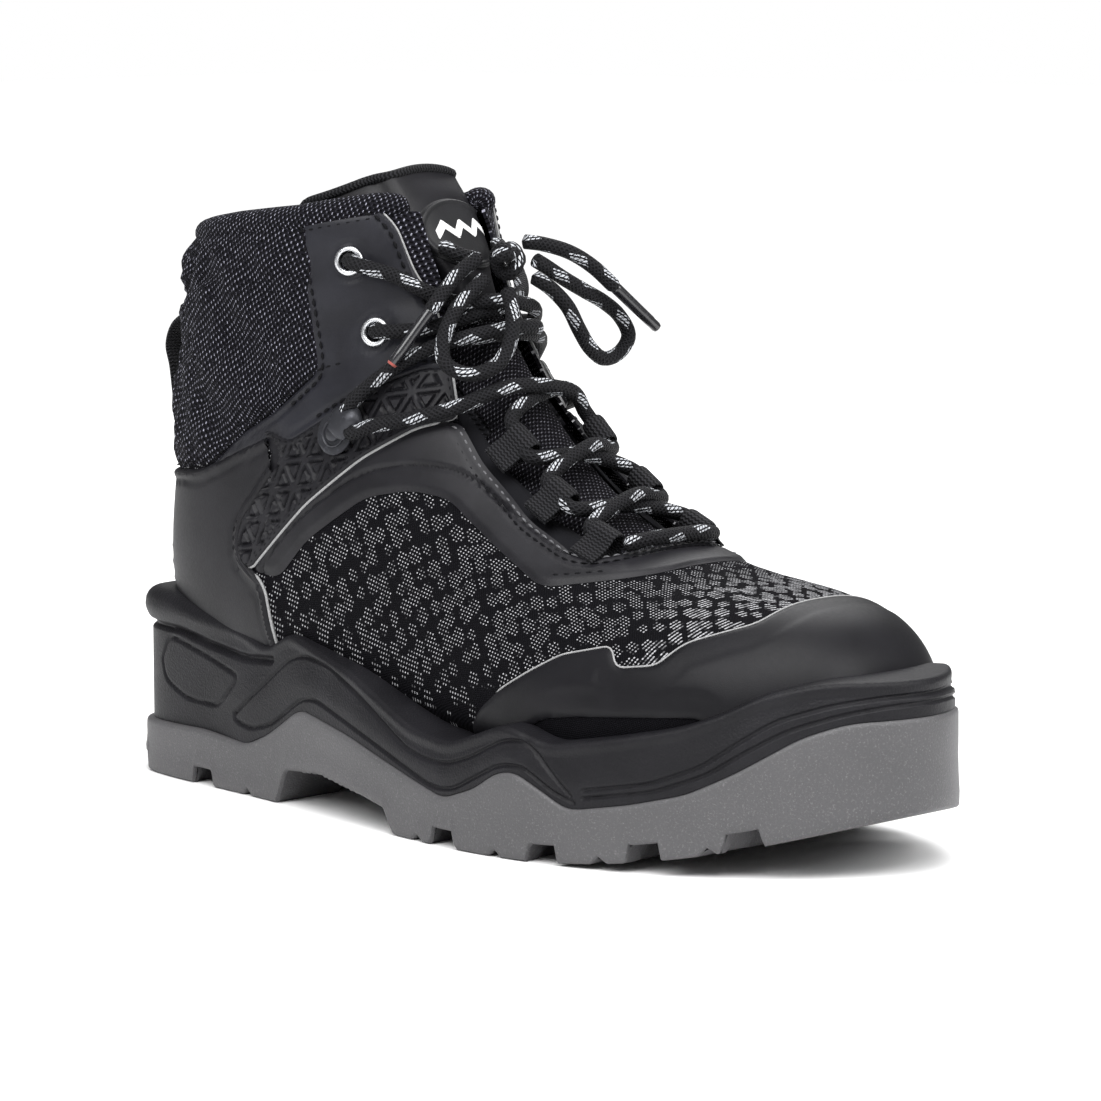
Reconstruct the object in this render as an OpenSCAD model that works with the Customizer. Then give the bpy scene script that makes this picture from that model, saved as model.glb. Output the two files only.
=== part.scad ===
// Steel toe work boot for the right foot: a mid-cut lace-up with a padded
// collar, cup outsole and injected midsole.
// +X points to the toe, +Y to the inner side of the foot and +Z up.
// The origin lies on the floor, under the middle of the boot's bounding box.

/* [Sole] */
// Length of the sole from heel to toe, which sets the size of the whole boot
boot_length = 310; // [280:1:340]
// Depth of the grooves between the lugs
tread_depth = 5; // [3:0.5:6]
// Width of the grooves that cross the tread
groove_w = 10; // [6:1:12]
// Thickness of the removable footbed
footbed_t = 5; // [3:0.5:6]

/* [Upper] */
// Thickness of the outer textile
textile_t = 1.2; // [0.8:0.1:1.2]
// Thickness of the smooth overlays
overlay_t = 1.2; // [0.8:0.1:1.2]
// Thickness of the embossed ankle strap
strap_t = 2.2; // [1.4:0.1:2.4]
// Thickness of the lining
lining_t = 1; // [0.6:0.1:1]
// Wall of the steel toe cap
steel_t = 1.8; // [1.2:0.1:1.8]
// Padding of the tongue
tongue_pad_t = 5; // [3:0.5:6]

/* [Lacing] */
// Diameter of the round lace
lace_d = 4.5; // [3:0.5:4.5]
// Diameter of an eyelet's rim
eyelet_d = 9; // [8:0.5:10]
// Diameter of the hole through an eyelet
eyelet_bore = 5.2; // [4.6:0.2:5.6]
// Thickness of the hook plates
hook_t = 1.2; // [1:0.1:1.4]
// Length of a lace tag
aglet_len = 20; // [14:1:22]

/* [Pull loop] */
// Width of the heel webbing
pull_w = 18; // [12:1:20]
// Thickness of the heel webbing
pull_t = 1.6; // [1:0.2:2]

/* [Hidden] */
$fn = 48;

// The whole boot is drawn at this length and then scaled.
drawn_length = 310;
// Place of the drawn boot's box centre.
drawn_centre = [154.1, -8.1, 0];
// Gap left between two pieces that touch.
gap = 0.3;
// Small overshoot of a cutting shape.
over = 1;

// Sections through the upper from the toe tip to the collar. Each one is a
// closed loop from a bottom or back point to a top or front point:
// [bottom x, z, top x, z, lateral and medial half width, y of the middle,
//  place of the widest point, lower and upper roundness].
SECTIONS = [
    [290, 40, 290, 46, 1, 1, 0, 0.40, 3.0, 2.2],
    [293, 29, 290, 58, 21, 16, 0, 0.40, 3.0, 2.3],
    [285, 23, 278, 69, 38, 31, 0, 0.38, 3.2, 2.5],
    [264, 21, 256, 75, 48, 41, 0, 0.36, 3.4, 2.5],
    [236, 20, 233, 77, 54, 46, 0, 0.34, 3.4, 2.4],
    [206, 20, 209, 82, 55, 48, 0, 0.33, 3.4, 2.2],
    [176, 21, 188, 93, 52, 46, 0, 0.33, 3.2, 2.1],
    [143, 23, 169, 108, 47, 43, 0, 0.35, 3.0, 2.0],
    [106, 25, 156, 123, 43, 41, 0, 0.38, 2.8, 2.0],
    [66, 27, 146, 137, 40, 38, 0, 0.42, 2.6, 2.0],
    [26, 32, 138, 150, 37, 36, 0, 0.45, 2.4, 2.1],
    [11, 54, 132, 161, 35, 35, 0, 0.47, 2.3, 2.2],
    [15, 84, 126, 171, 36, 37, 0, 0.48, 2.2, 2.4],
    [20, 112, 120, 181, 37, 39, 0, 0.49, 2.2, 2.6],
    [22, 140, 114, 191, 38, 40, 0, 0.50, 2.2, 2.6],
    [33, 172, 108, 201, 38, 40, 0, 0.50, 2.2, 2.6]];
LAST = len(SECTIONS) - 1;

// Plan of the sole, from the heel round the lateral side to the toe and back.
SOLE_PLAN = [[-3, 2], [0, -18], [14, -30], [50, -36], [95, -45], [145, -59], [188, -68],
    [230, -65], [268, -53], [298, -33], [313, -9], [304, 16], [279, 39], [240, 52],
    [200, 49], [150, 39], [95, 39], [45, 41], [10, 34]];

// Heights along the boot, as [x, z].
OUTSOLE_TOP = [[-5, 16], [43, 17], [68, 15.5], [80, 20], [98, 30], [125, 25.5], [155, 18.5],
    [174, 14], [188, 18.5], [197, 24], [204, 25], [213, 21], [223, 16], [242, 19], [259, 23],
    [271, 29], [279, 34], [288, 40], [298, 44], [315, 45]];
MIDSOLE_TOP = [[-5, 58], [9, 58], [25, 57], [77, 45.5], [88, 51], [124, 44], [156, 32],
    [175, 30], [184, 33], [199, 38], [215, 33.5], [236, 37], [256, 41], [268, 45.5],
    [279, 51.5], [293, 55], [315, 55]];
BED = [[-5, 40], [10, 38], [26, 33], [66, 28], [106, 26], [143, 24], [176, 22], [206, 21],
    [264, 22], [285, 25], [300, 31], [315, 36]];
COLLAR_TOP = [[-10, 168], [27, 171], [67, 176], [90, 178.5], [112, 183], [145, 184]];

// Side outlines of the panels, as [x, z].
THROAT = [[240, 92], [209, 84], [202, 81.5], [195, 82.5], [178, 90.5], [157, 105.5],
    [145, 118], [141.5, 125], [138, 132], [134, 142], [131, 152], [126, 163], [121, 175],
    [117, 183], [116, 210], [250, 210]];
COLLAR_LINE = [[-30, 93], [24, 95], [55, 100.6], [66, 109], [81, 117.5], [97, 129.5], [139, 141]];
TOE_OVERLAY = [[168, 0], [176, 34], [189, 45], [200, 52], [211, 57.5], [227, 61], [231, 55.5],
    [243.5, 57], [249, 63], [264, 68.5], [262, 90], [330, 90], [330, 0]];
QUARTER = [[72, 69], [84.7, 67.5], [97, 80], [120.5, 94.5], [137, 97.5], [151, 96], [160, 90.5],
    [173, 83.5], [193, 74], [214, 77], [223, 79], [224, 95], [209, 95], [209, 84], [202, 81.5],
    [195, 82.5], [178, 90.5], [157, 105.5], [145, 118], [134, 115], [117, 105.5], [96, 90.5]];
COUNTER = [[-30, 98], [24, 95.5], [48, 97.7], [81, 111], [85, 103], [77, 93.5], [67, 82],
    [66.7, 73], [78.6, 64.4], [82, 46], [82, 20], [-30, 20]];
STRAP = [[72, 69], [96, 90.5], [117, 105.5], [134, 115], [145, 118], [141.5, 125],
    [138, 132], [131, 132], [116, 126], [110, 121.5], [87, 109], [81, 111], [85, 103],
    [77, 93.5], [67, 82], [66.7, 73]];
EYESTAY = [[90, 176], [111.5, 179.5], [117, 173], [122.5, 160], [129, 150], [138, 132],
    [131, 132], [116, 126], [110, 121.5], [87, 109], [81, 111], [48, 97.7], [55, 100.6],
    [66, 109.3], [81, 117.4], [96.6, 129.7]];

TONGUE_SIDE = [[216, 60], [206, 72], [190, 72], [150, 90], [112, 106], [84, 124], [80, 210],
    [216, 210]];

// Places on the upper as [section, side], where side runs from -1 at the
// bottom or back over the lateral side, the top line at 0, to 1 again.
EYELET_PLACES = [[12.45, 0.28], [10.83, 0.26]];
HOOK_RIVET = [9.83, 0.36];
HOOK_TIP = [9.5, 0.29];
LOOP_PLACES = [7.4, 6.4, 5.45];
loop_side = 0.115;
knot_centre = [142, 0, 163];

// Routes of the lace on the upper as [section, side, height above it].
LACE_BAR = [[5.15, -0.11, 3.9], [5.05, -0.05, 4.2], [5.05, 0.05, 4.2], [5.15, 0.11, 3.9]];
function crossing(low, high, lift) = [[low - 0.05, -loop_side, 3], [low + 0.3, -loop_side, 3],
    [(low + high) / 2, 0, lift], [high - 0.3, loop_side, 3], [high + 0.05, loop_side, 3]];
function to_hook(lift) = [[7.45, 0.115, 3], [7.8, 0.11, 3.2], [8, 0.05, lift], [8.25, -0.08, lift],
    [8.5, -0.19, 5], [8.85, -0.25, 5.6], [9.25, -0.3, 6.4], [9.52, -0.335, 6.3],
    [9.85, -0.325, 6.2], [9.9, -0.27, 5], [9.75, -0.19, 4.6], [9.4, -0.08, lift],
    [9.35, 0.04, lift], [9.6, 0.125, 1]];
function to_eyelet(lift) = [[10.83, 0.26, -0.8], [10.8, 0.255, 3], [10.5, 0.225, 4.8],
    [10.1, 0.17, 4.4], [9.9, 0.08, lift], [9.95, -0.02, lift], [10.3, -0.1, 2.2],
    [10.9, -0.155, 4.2], [11.6, -0.2, 4.4], [12.15, -0.25, 4.8], [12.43, -0.276, 3],
    [12.45, -0.28, -0.8]];
LACE_TOP = [[11.75, -0.085, 0.2], [11.6, -0.075, 2], [11.3, -0.055, 3.2]];

// Routes of the free ends of the bow, as [x, y, z].
BOW_LATERAL = [[140, -6.5, 158.5], [140, -13, 154.5], [140, -20, 149], [141, -26, 141],
    [144, -28, 134.5], [150, -24, 131.5], [154, -17, 134], [154, -11, 141], [151, -7, 149],
    [147, -5, 155.5]];
BOW_MEDIAL = [[146, 7, 158.5], [149, 12, 154.5], [151, 17, 149], [151, 22, 142], [150, 28, 136],
    [150, 34, 132.5], [151, 40, 134], [152, 43, 139], [151, 40, 145], [150, 34, 149.5],
    [149, 27, 153], [148, 19, 157], [147, 12, 161], [146, 7.5, 163.5]];
END_LATERAL = [[138, -7, 164.5], [136, -13, 160.5], [136, -19, 156], [135.5, -25, 150]];
AGLET_LATERAL_TO = [129, -33, 136];
END_MEDIAL = [[142, 7, 168.5], [145, 13, 167.5], [149, 20, 165], [152, 27, 160.5], [155, 33, 154.5]];
AGLET_MEDIAL_TO = [159, 47, 142];

// Route of the heel webbing in the middle plane, as [x, z].
PULL_PATH = [[18.6, 144], [13, 142], [7, 138], [4.5, 132], [6, 125], [7, 117], [9, 109],
    [13, 102], [15.6, 97.5]];

function blend(x) = let (t = min(max(x, 0), 1)) t * t * (3 - 2 * t);
function steps(from, to, count) = [for (i = [0:count]) from + (to - from) * i / count];
function closed_steps(from, to, count) = [for (i = [0:count - 1]) from + (to - from) * i / count];
function along(table, x) = lookup(x, table);

// Rows and columns of the grid that every layer of the upper is drawn on, so
// that the layers stay the same distance apart.
first_row = 0.35;
column_count = 28;
function rows(from, to) = [for (s = concat([first_row], steps(0.9, 14.7, 23))) if (s >= from && s <= to) s];
function columns(from, to) = [for (i = [-column_count:column_count])
    let (v = 2 * i / column_count) if (v >= from && v <= to) v];
ring = closed_steps(-1, 1, column_count);

// ---- Surface of the upper ----

function section_at(i) = i < 0 ? 2 * SECTIONS[0] - SECTIONS[1]
    : i > LAST ? 2 * SECTIONS[LAST] - SECTIONS[LAST - 1] : SECTIONS[i];
function spline_weights(t) = [pow(1 - t, 3), 3 * pow(t, 3) - 6 * t * t + 4,
    -3 * pow(t, 3) + 3 * t * t + 3 * t + 1, pow(t, 3)] / 6;
function section(s) = let (i = min(floor(max(s, 0)), LAST - 1), w = spline_weights(s - i))
    w[0] * section_at(i - 1) + w[1] * section_at(i) + w[2] * section_at(i + 1)
    + w[3] * section_at(i + 2);
function upper_point(s, v) = let (
    q = section(s),
    a = v > 1 ? v - 2 : v < -1 ? v + 2 : v,
    t = 1 - abs(a),
    low = 180 * min(t, 0.5),
    high = 180 * max(t - 0.5, 0),
    below = t <= 0.5,
    r = below ? q[7] * (1 - pow(cos(low), 2 / q[8]))
        : q[7] + (1 - q[7]) * pow(sin(high), 2 / q[9]),
    h = below ? pow(sin(low), 2 / q[8]) : pow(max(cos(high), 0), 2 / q[9]),
    y = q[6] + (a < 0 ? -q[4] : q[5]) * h)
    [q[0] + (q[2] - q[0]) * r, y, q[1] + (q[3] - q[1]) * r];
function upper_normal(s, v) = let (
    e = 0.02,
    across = upper_point(s, v + e) - upper_point(s, v - e),
    forward = upper_point(s + e, v) - upper_point(max(s - e, 0), v),
    n = cross(across, forward))
    n / norm(n);
function on_upper(s, v, h) = upper_point(s, v) + h * upper_normal(s, v);

// Depth of the lining's inner face: more in the padded collar.
lining_depth = 4.8;
collar_extra = 3;
function depth(s) = lining_depth + collar_extra * blend((s - 9.5) / 1.6);

// Faces of the overlays above the textile.
overlay_low = 0.2;
overlay_high = overlay_low + overlay_t;

// Outer face of the tongue: behind the quarters at its sides, proud between them.
function tongue_face_depth(s, v) = let (
    middle = 2.4 + 2.8 * blend((s - 10.5) / 3),
    side = depth(s) + 0.9,
    shoulder = 0.05 + 0.04 * blend((s - 10.5) / 1.5))
    -(middle + (side - middle) * blend((abs(v) - shoulder) / 0.06));

// ---- Shape builders ----

function quad(a, b, c, d) = [[a, b, c], [a, c, d]];
function flatten(lists) = [for (list = lists) each list];
function offset_at(d, s, v) = is_function(d) ? d(s, v) : d;

// Closed solid between two offsets of the upper surface over a grid.
module sheet(s_list, v_list, low, high, closed = false) {
    rows = len(s_list);
    cols = len(v_list);
    last_col = closed ? cols - 1 : cols - 2;
    points = [for (d = [high, low]) for (s = s_list) for (v = v_list)
        on_upper(s, v, offset_at(d, s, v))];
    function at(layer, i, j) = (layer * rows + i) * cols + j % cols;
    outer = flatten([for (i = [0:rows - 2]) for (j = [0:last_col])
        quad(at(0, i, j), at(0, i + 1, j), at(0, i + 1, j + 1), at(0, i, j + 1))]);
    inner = flatten([for (i = [0:rows - 2]) for (j = [0:last_col])
        quad(at(1, i, j), at(1, i, j + 1), at(1, i + 1, j + 1), at(1, i + 1, j))]);
    first_rim = flatten([for (j = [0:last_col])
        quad(at(0, 0, j), at(0, 0, j + 1), at(1, 0, j + 1), at(1, 0, j))]);
    last_rim = flatten([for (j = [0:last_col]) let (n = rows - 1)
        quad(at(0, n, j + 1), at(0, n, j), at(1, n, j), at(1, n, j + 1))]);
    side_rims = closed ? [] : flatten([for (i = [0:rows - 2]) let (m = cols - 1) concat(
        quad(at(0, i + 1, 0), at(0, i, 0), at(1, i, 0), at(1, i + 1, 0)),
        quad(at(0, i, m), at(0, i + 1, m), at(1, i + 1, m), at(1, i, m)))]);
    polyhedron(points, concat(outer, inner, first_rim, last_rim, side_rims), convexity = 10);
}

// Closed solid inside one offset of the upper surface.
module core(s_list, v_list, d) {
    rows = len(s_list);
    cols = len(v_list);
    rings = [for (s = s_list) [for (v = v_list) on_upper(s, v, offset_at(d, s, v))]];
    ends = [average(rings[0]), average(rings[rows - 1])];
    function at(i, j) = i * cols + j % cols;
    wall = flatten([for (i = [0:rows - 2]) for (j = [0:cols - 1])
        quad(at(i, j), at(i + 1, j), at(i + 1, j + 1), at(i, j + 1))]);
    first = [for (j = [0:cols - 1]) [at(0, j), at(0, j + 1), rows * cols]];
    last = [for (j = [0:cols - 1]) [at(rows - 1, j + 1), at(rows - 1, j), rows * cols + 1]];
    polyhedron(concat(flatten(rings), ends), concat(wall, first, last), convexity = 10);
}
function average(points) = [for (k = [0:2]) sum([for (p = points) p[k]]) / len(points)];
function sum(list, i = 0) = i >= len(list) ? 0 : list[i] + sum(list, i + 1);

// Joins everything inside into one clean solid.
module fuse() {
    resize([0, 0, 0]) union() children();
}

// Prism right across the boot over a side outline, drawn in by a seam.
module side_prism(outline, seam = gap / 2) {
    rotate([90, 0, 0]) linear_extrude(180, center = true) offset(delta = -seam) polygon(outline);
}

// Panel of the upper under a side outline.
module panel(outline, s_list, v_list, low, high) {
    fuse() intersection() {
        sheet(s_list, v_list, low, high);
        side_prism(outline);
    }
}

// Tube through points, with rings square to the route.
module tube(route, d, sides = 8) {
    n = len(route);
    dirs = [for (i = [0:n - 1]) let (
        t = route[min(i + 1, n - 1)] - route[max(i - 1, 0)]) t / norm(t)];
    frames = tube_frames(dirs, n);
    points = [for (i = [0:n - 1]) for (k = [0:sides - 1]) let (
        a = frames[i], b = cross(dirs[i], a), w = 360 * k / sides)
        route[i] + d / 2 * (a * cos(w) + b * sin(w))];
    function at(i, k) = i * sides + k % sides;
    wall = flatten([for (i = [0:n - 2]) for (k = [0:sides - 1])
        quad(at(i, k), at(i + 1, k), at(i + 1, k + 1), at(i, k + 1))]);
    start = [[for (k = [0:sides - 1]) k]];
    finish = [[for (k = [sides - 1:-1:0]) at(n - 1, k)]];
    polyhedron(points, concat(wall, start, finish), convexity = 10);
}
// A crosswise direction at each ring, carried along without twist.
function square_to(a, dir) = let (c = a - (a * dir) * dir) c / norm(c);
function first_frame(dir) = square_to(abs(dir.z) < 0.9 ? [0, 0, 1] : [1, 0, 0], dir);
function tube_frames(dirs, n) = [for (i = 0, a = first_frame(dirs[0]); i < n;
    i = i + 1, a = i < n ? square_to(a, dirs[i]) : a) a];

// Sits its children on the upper with Z along the normal and X towards a place.
module seat(place, target, h) {
    z = upper_normal(place[0], place[1]);
    x = square_to(upper_point(target[0], target[1]) - upper_point(place[0], place[1]), z);
    y = cross(z, x);
    p = on_upper(place[0], place[1], h);
    multmatrix([[x.x, y.x, z.x, p.x], [x.y, y.y, z.y, p.y], [x.z, y.z, z.z, p.z], [0, 0, 0, 1]])
        children();
}

module fitted() {
    scale(boot_length / drawn_length) translate(-drawn_centre) children();
}

// ---- Sole ----

plan_count = len(SOLE_PLAN);
sole_sides = 92;
function plan_at(u) = let (
    i = floor(u),
    w = spline_weights(u - i))
    w[0] * SOLE_PLAN[(i - 1 + plan_count) % plan_count] + w[1] * SOLE_PLAN[i % plan_count]
    + w[2] * SOLE_PLAN[(i + 1) % plan_count] + w[3] * SOLE_PLAN[(i + 2) % plan_count];
function plan_edge(u, inset) = let (
    e = 0.01,
    d = plan_at(u + e) - plan_at(u + plan_count - e),
    n = [-d.y, d.x] / norm(d))
    plan_at(u) + inset * n;
// Floor line under the tread, which lifts towards the toe.
spring_start = 200;
spring_rate = 0.0016;
function ground(x) = spring_rate * pow(max(x - spring_start, 0), 2) + 1.5 * blend((8 - x) / 10);
// Upper face of the outsole inside its rim, which dips under the toe.
function cup_floor(x) = ground(x) + 12.5 - 4 * blend((x - 240) / 40);

// Solid of stacked rings round the plan: each ring is [inset, height function].
module plan_stack(rings, count) {
    u_list = closed_steps(0, plan_count, count);
    layers = [for (ring = rings) [for (u = u_list) let (p = plan_edge(u, ring[0]))
        [p.x, p.y, ring[1](p.x)]]];
    n = len(rings);
    function at(i, j) = i * count + j % count;
    wall = flatten([for (i = [0:n - 2]) for (j = [0:count - 1])
        quad(at(i, j), at(i + 1, j), at(i + 1, j + 1), at(i, j + 1))]);
    // The caps are strips from one side of the plan to the other.
    half = count / 2;
    bottom = flatten([for (j = [0:half - 1]) quad(at(0, j), at(0, j + 1),
        at(0, count - 1 - j), at(0, (count - j) % count))]);
    top = flatten([for (j = [0:half - 1]) quad(at(n - 1, j + 1), at(n - 1, j),
        at(n - 1, (count - j) % count), at(n - 1, count - 1 - j))]);
    polyhedron(flatten(layers), concat(wall, bottom, top), convexity = 10);
}

GROOVES = [15, 53, 178, 217, 250, 278];
ARCH = [[86, -1], [91, 10.5], [110, 12], [134, 9], [146, 7], [151, -1]];
chevron = 12;

// Plan of the grooves: bent bars across the tread and two long channels.
module groove_plan() {
    for (x = GROOVES, side = [-1, 1])
        polygon([[x - groove_w / 2, side * 80], [x + groove_w / 2, side * 80],
            [x + groove_w / 2 - chevron, 0], [x - groove_w / 2 - chevron, 0]]);
    channel_w = 4;
    for (y = [-30, 14])
        polygon([[18, y * 0.4 + 4], [85, y * 0.5 + 4], [150, y], [210, y - 4], [270, y * 0.7],
            [270, y * 0.7 + channel_w], [210, y - 4 + channel_w], [150, y + channel_w],
            [85, y * 0.5 + 4 + channel_w], [18, y * 0.4 + 4 + channel_w]]);
}

module groove_slab() {
    xs = steps(-10, 320, 22);
    side_prism(concat([for (x = xs) [x, ground(x) - over]],
        [for (i = [len(xs) - 1:-1:0]) [xs[i], ground(xs[i]) + tread_depth]]), 0);
}

module outsole() {
    color("#77777a") fuse() difference() {
        plan_stack([
            [2, function (x) ground(x)],
            [0.4, function (x) ground(x) + 3],
            [1.4, function (x) along(OUTSOLE_TOP, x) - 1],
            [2.4, function (x) along(OUTSOLE_TOP, x)],
            [5, function (x) along(OUTSOLE_TOP, x)],
            [6, function (x) cup_floor(x)]], sole_sides);
        side_prism(ARCH, 0);
        upper_space(2 * gap);
        intersection() {
            groove_slab();
            translate([0, 0, -over]) linear_extrude(60) groove_plan();
        }
    }
}

// Space that the lasted upper takes in the sole.
module upper_space(clear) {
    core(rows(0, 12.4), ring, overlay_high + clear);
}

module midsole() {
    color("#1d1e21") fuse() difference() {
        plan_stack([
            [6.4, function (x) cup_floor(x) + gap],
            [5.3, function (x) along(OUTSOLE_TOP, x) + gap],
            [1.8, function (x) along(OUTSOLE_TOP, x) + gap],
            [2.6, function (x) (along(OUTSOLE_TOP, x) + along(MIDSOLE_TOP, x)) / 2],
            [4.5, function (x) along(MIDSOLE_TOP, x) - 1.5],
            [6.5, function (x) along(MIDSOLE_TOP, x)]], sole_sides);
        upper_space(gap);
    }
}

// ---- Inside the upper ----

// Level layer across the inside of the boot, by its heights above the bed line.
module bed_layer(low, high) {
    xs = steps(0, 305, 14);
    fuse() intersection() {
        core(rows(0, 11.8), ring, function (s, v) -depth(s) - gap);
        side_prism(concat([for (x = xs) [x, along(BED, x) + low]],
            [for (i = [len(xs) - 1:-1:0]) [xs[i], along(BED, xs[i]) + high]]), 0);
    }
}

board_low = 5.2;
board_t = 1.8;

module insole_board() {
    color("#c9b48a") bed_layer(board_low, board_low + board_t);
}

module footbed() {
    low = board_low + board_t + gap;
    color("#2b2d33") bed_layer(low, low + footbed_t);
}

inner_start = 1.5;

module toe_cap() {
    color("#9aa0a6") fuse()
        sheet(rows(0.8, 4), columns(-0.87, 0.87), -inner_start - steel_t, -inner_start);
}

STIFFENER = [[-30, 25], [95, 25], [90, 50], [70, 75], [50, 88], [-30, 90]];

module heel_stiffener() {
    color("#8d8a80")
        panel(STIFFENER, rows(8, 12.4), columns(-1.44, -0.56), -inner_start - board_t, -inner_start);
}

// Everything below a line of [x, z] points.
function below(line) = concat([[line[len(line) - 1].x, -20], [line[0].x, -20]], line);
function above(line) = concat([[line[len(line) - 1].x, 260], [line[0].x, 260]], line);
function lowered(line, d) = [for (p = line) [p.x, p.y - d]];
roll_d = 7.2;

// Opening of the lining in front of the ankle, which the tongue moves in.
module tongue_slot() {
    low_w = 14;
    high_w = 22;
    intersection() {
        rotate([90, 0, 90]) linear_extrude(260)
            polygon([[-low_w, 70], [low_w, 70], [high_w, 150], [high_w, 210], [-high_w, 210],
                [-high_w, 150]]);
        side_prism(TONGUE_SIDE, 0);
    }
}

// Everything on one side of a cut across the boot.
module in_front_of(x) {
    side_prism([[x, -20], [x, 260], [400, 260], [400, -20]]);
}

module behind(x) {
    side_prism([[x, -20], [x, 260], [-100, 260], [-100, -20]]);
}

lining_seam = 130;
knit_seam = 118;

module lining() {
    color("#26282c") difference() {
        sheet(rows(0.8, 15), ring, function (s, v) -depth(s), function (s, v) -depth(s) + lining_t, true);
        side_prism(THROAT, 0);
        tongue_slot();
        side_prism(above(lowered(COLLAR_TOP, roll_d)), -gap);
    }
}

module lining_front() {
    fuse() intersection() {
        lining();
        in_front_of(lining_seam);
    }
}

module lining_back() {
    fuse() intersection() {
        lining();
        behind(lining_seam);
    }
}

module knit() {
    color("#222327") difference() {
        sheet(rows(0, 12.4), ring, -textile_t, 0, true);
        side_prism(THROAT, 0);
        side_prism(above(COLLAR_LINE), -gap / 2);
    }
}

module vamp() {
    fuse() intersection() {
        knit();
        in_front_of(knit_seam);
    }
}

module quarters() {
    fuse() intersection() {
        knit();
        behind(knit_seam);
    }
}

module eyelet_holes() {
    for (place = EYELET_PLACES, side = [-1, 1])
        seat([place[0], place[1] * side], [place[0] - 1, place[1] * side], 0)
            cylinder(d = eyelet_bore + 2.2, h = 8, center = true);
}

module collar_cover() {
    color("#34363b") fuse() difference() {
        intersection() {
            sheet(rows(8.6, 15), ring, -textile_t, 0, true);
            side_prism(above(COLLAR_LINE));
        }
        side_prism(THROAT, 0);
        side_prism(above(lowered(COLLAR_TOP, roll_d)), -gap);
        eyelet_holes();
    }
}

module collar_foam() {
    color("#55575c") fuse() intersection() {
        sheet(rows(10, 15), columns(-1.58, -0.42), function (s, v) -depth(s) + lining_t + gap,
            -textile_t - gap);
        side_prism(above([[-30, 98], [24, 100], [55, 106], [81, 122], [95, 134], [139, 150]]), 0);
        side_prism(below(lowered(COLLAR_TOP, roll_d + 4 * gap)), 0);
    }
}

// Section number where a side line meets the collar's top line.
function top_section(v, drop, low = 12, high = 15, turns = 12) = let (
    s = (low + high) / 2,
    p = upper_point(s, v))
    turns == 0 ? s : p.z > along(COLLAR_TOP, p.x) - drop
        ? top_section(v, drop, low, s, turns - 1) : top_section(v, drop, s, high, turns - 1);

module collar_roll() {
    route = [for (v = steps(-1.76, -0.24, 34)) let (s = top_section(v, roll_d / 2))
        on_upper(s, v, -roll_d / 2 - 0.2)];
    color("#26282c") fuse() tube(route, roll_d, 8);
}

// ---- Panels on the upper ----

module toe_overlay() {
    color("#1f2024")
        panel(TOE_OVERLAY, rows(0, 6.4), columns(-0.93, 0.93), overlay_low, overlay_high);
}

module quarter_overlay() {
    color("#25262b")
        panel(QUARTER, rows(3.8, 10.6), columns(-0.65, 0.65), overlay_low, overlay_high);
}

module heel_counter() {
    color("#2a2b2f")
        panel(COUNTER, rows(8, 12.4), columns(-1.51, -0.49), overlay_low, overlay_high);
}

function half_columns(side) = side < 0 ? columns(-0.72, -0.06) : columns(0.06, 0.72);

module strap(side) {
    color("#2b2d33")
        panel(STRAP, rows(7.4, 11.8), half_columns(side), overlay_low, overlay_low + strap_t);
}

module eyestay(side) {
    color("#24262d") fuse() difference() {
        intersection() {
            sheet(rows(8.6, 14.8), half_columns(side), overlay_low, overlay_high);
            side_prism(EYESTAY);
        }
        eyelet_holes();
    }
}

// ---- Lacing ----

module eyelet() {
    rim_t = 1;
    barrel = 1.9;
    wall = 0.8;
    rotate_extrude() {
        translate([eyelet_bore / 2, 0]) square([(eyelet_d - eyelet_bore) / 2, rim_t]);
        translate([eyelet_bore / 2, -barrel]) square([wall, barrel + rim_t / 2]);
    }
}

module eyelets() {
    color("#b9bcc0") for (place = EYELET_PLACES, side = [-1, 1])
        seat([place[0], place[1] * side], [place[0] - 1, place[1] * side], overlay_high + 0.1)
            eyelet();
}

hook_len = 17;
hook_w = 11;
hook_clear = lace_d + 2 * gap;
hook_seat = overlay_low + strap_t + 0.2;
neck_len = 2;

module hook() {
    difference() {
        union() {
            cylinder(d = hook_w, h = hook_t);
            translate([0, -hook_w / 2, 0]) cube([hook_len - hook_w / 2, hook_w, hook_t]);
            translate([hook_len - hook_w / 2, 0, 0]) cylinder(d = hook_w, h = hook_t);
        }
        translate([0, 0, -over]) cylinder(d = 3.4, h = hook_t + 2 * over);
    }
    translate([hook_len - neck_len, -hook_w / 4, 0])
        cube([neck_len, hook_w / 2, 2 * hook_t + hook_clear]);
    translate([hook_len - hook_w / 2, 0, hook_t + hook_clear]) cylinder(d = hook_w, h = hook_t);
}

module on_each_hook() {
    for (side = [-1, 1])
        seat([HOOK_RIVET[0], HOOK_RIVET[1] * side], [HOOK_TIP[0], HOOK_TIP[1] * side], hook_seat)
            children();
}

module hooks() {
    color("#4c5058") on_each_hook() hook();
}

module hook_rivets() {
    head_t = 1.2;
    color("#5a5e66") on_each_hook() {
        translate([0, 0, hook_t + 0.1]) cylinder(d1 = 6.4, d2 = 5, h = head_t);
        translate([0, 0, 0.1]) cylinder(d = 3, h = hook_t + 0.5);
    }
}

// Folded ribbon with the lace in its fold: X towards the middle, Y along the boot.
module webbing_loop() {
    inner = lace_d / 2 + gap;
    ribbon_t = 1;
    width = 9;
    root = 9;
    rotate([90, 0, 0]) linear_extrude(width, center = true) difference() {
        union() {
            circle(inner + ribbon_t, $fn = 24);
            translate([-root, -inner - ribbon_t]) square([root, 2 * ribbon_t + 0.4]);
        }
        circle(inner, $fn = 24);
    }
}

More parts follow.
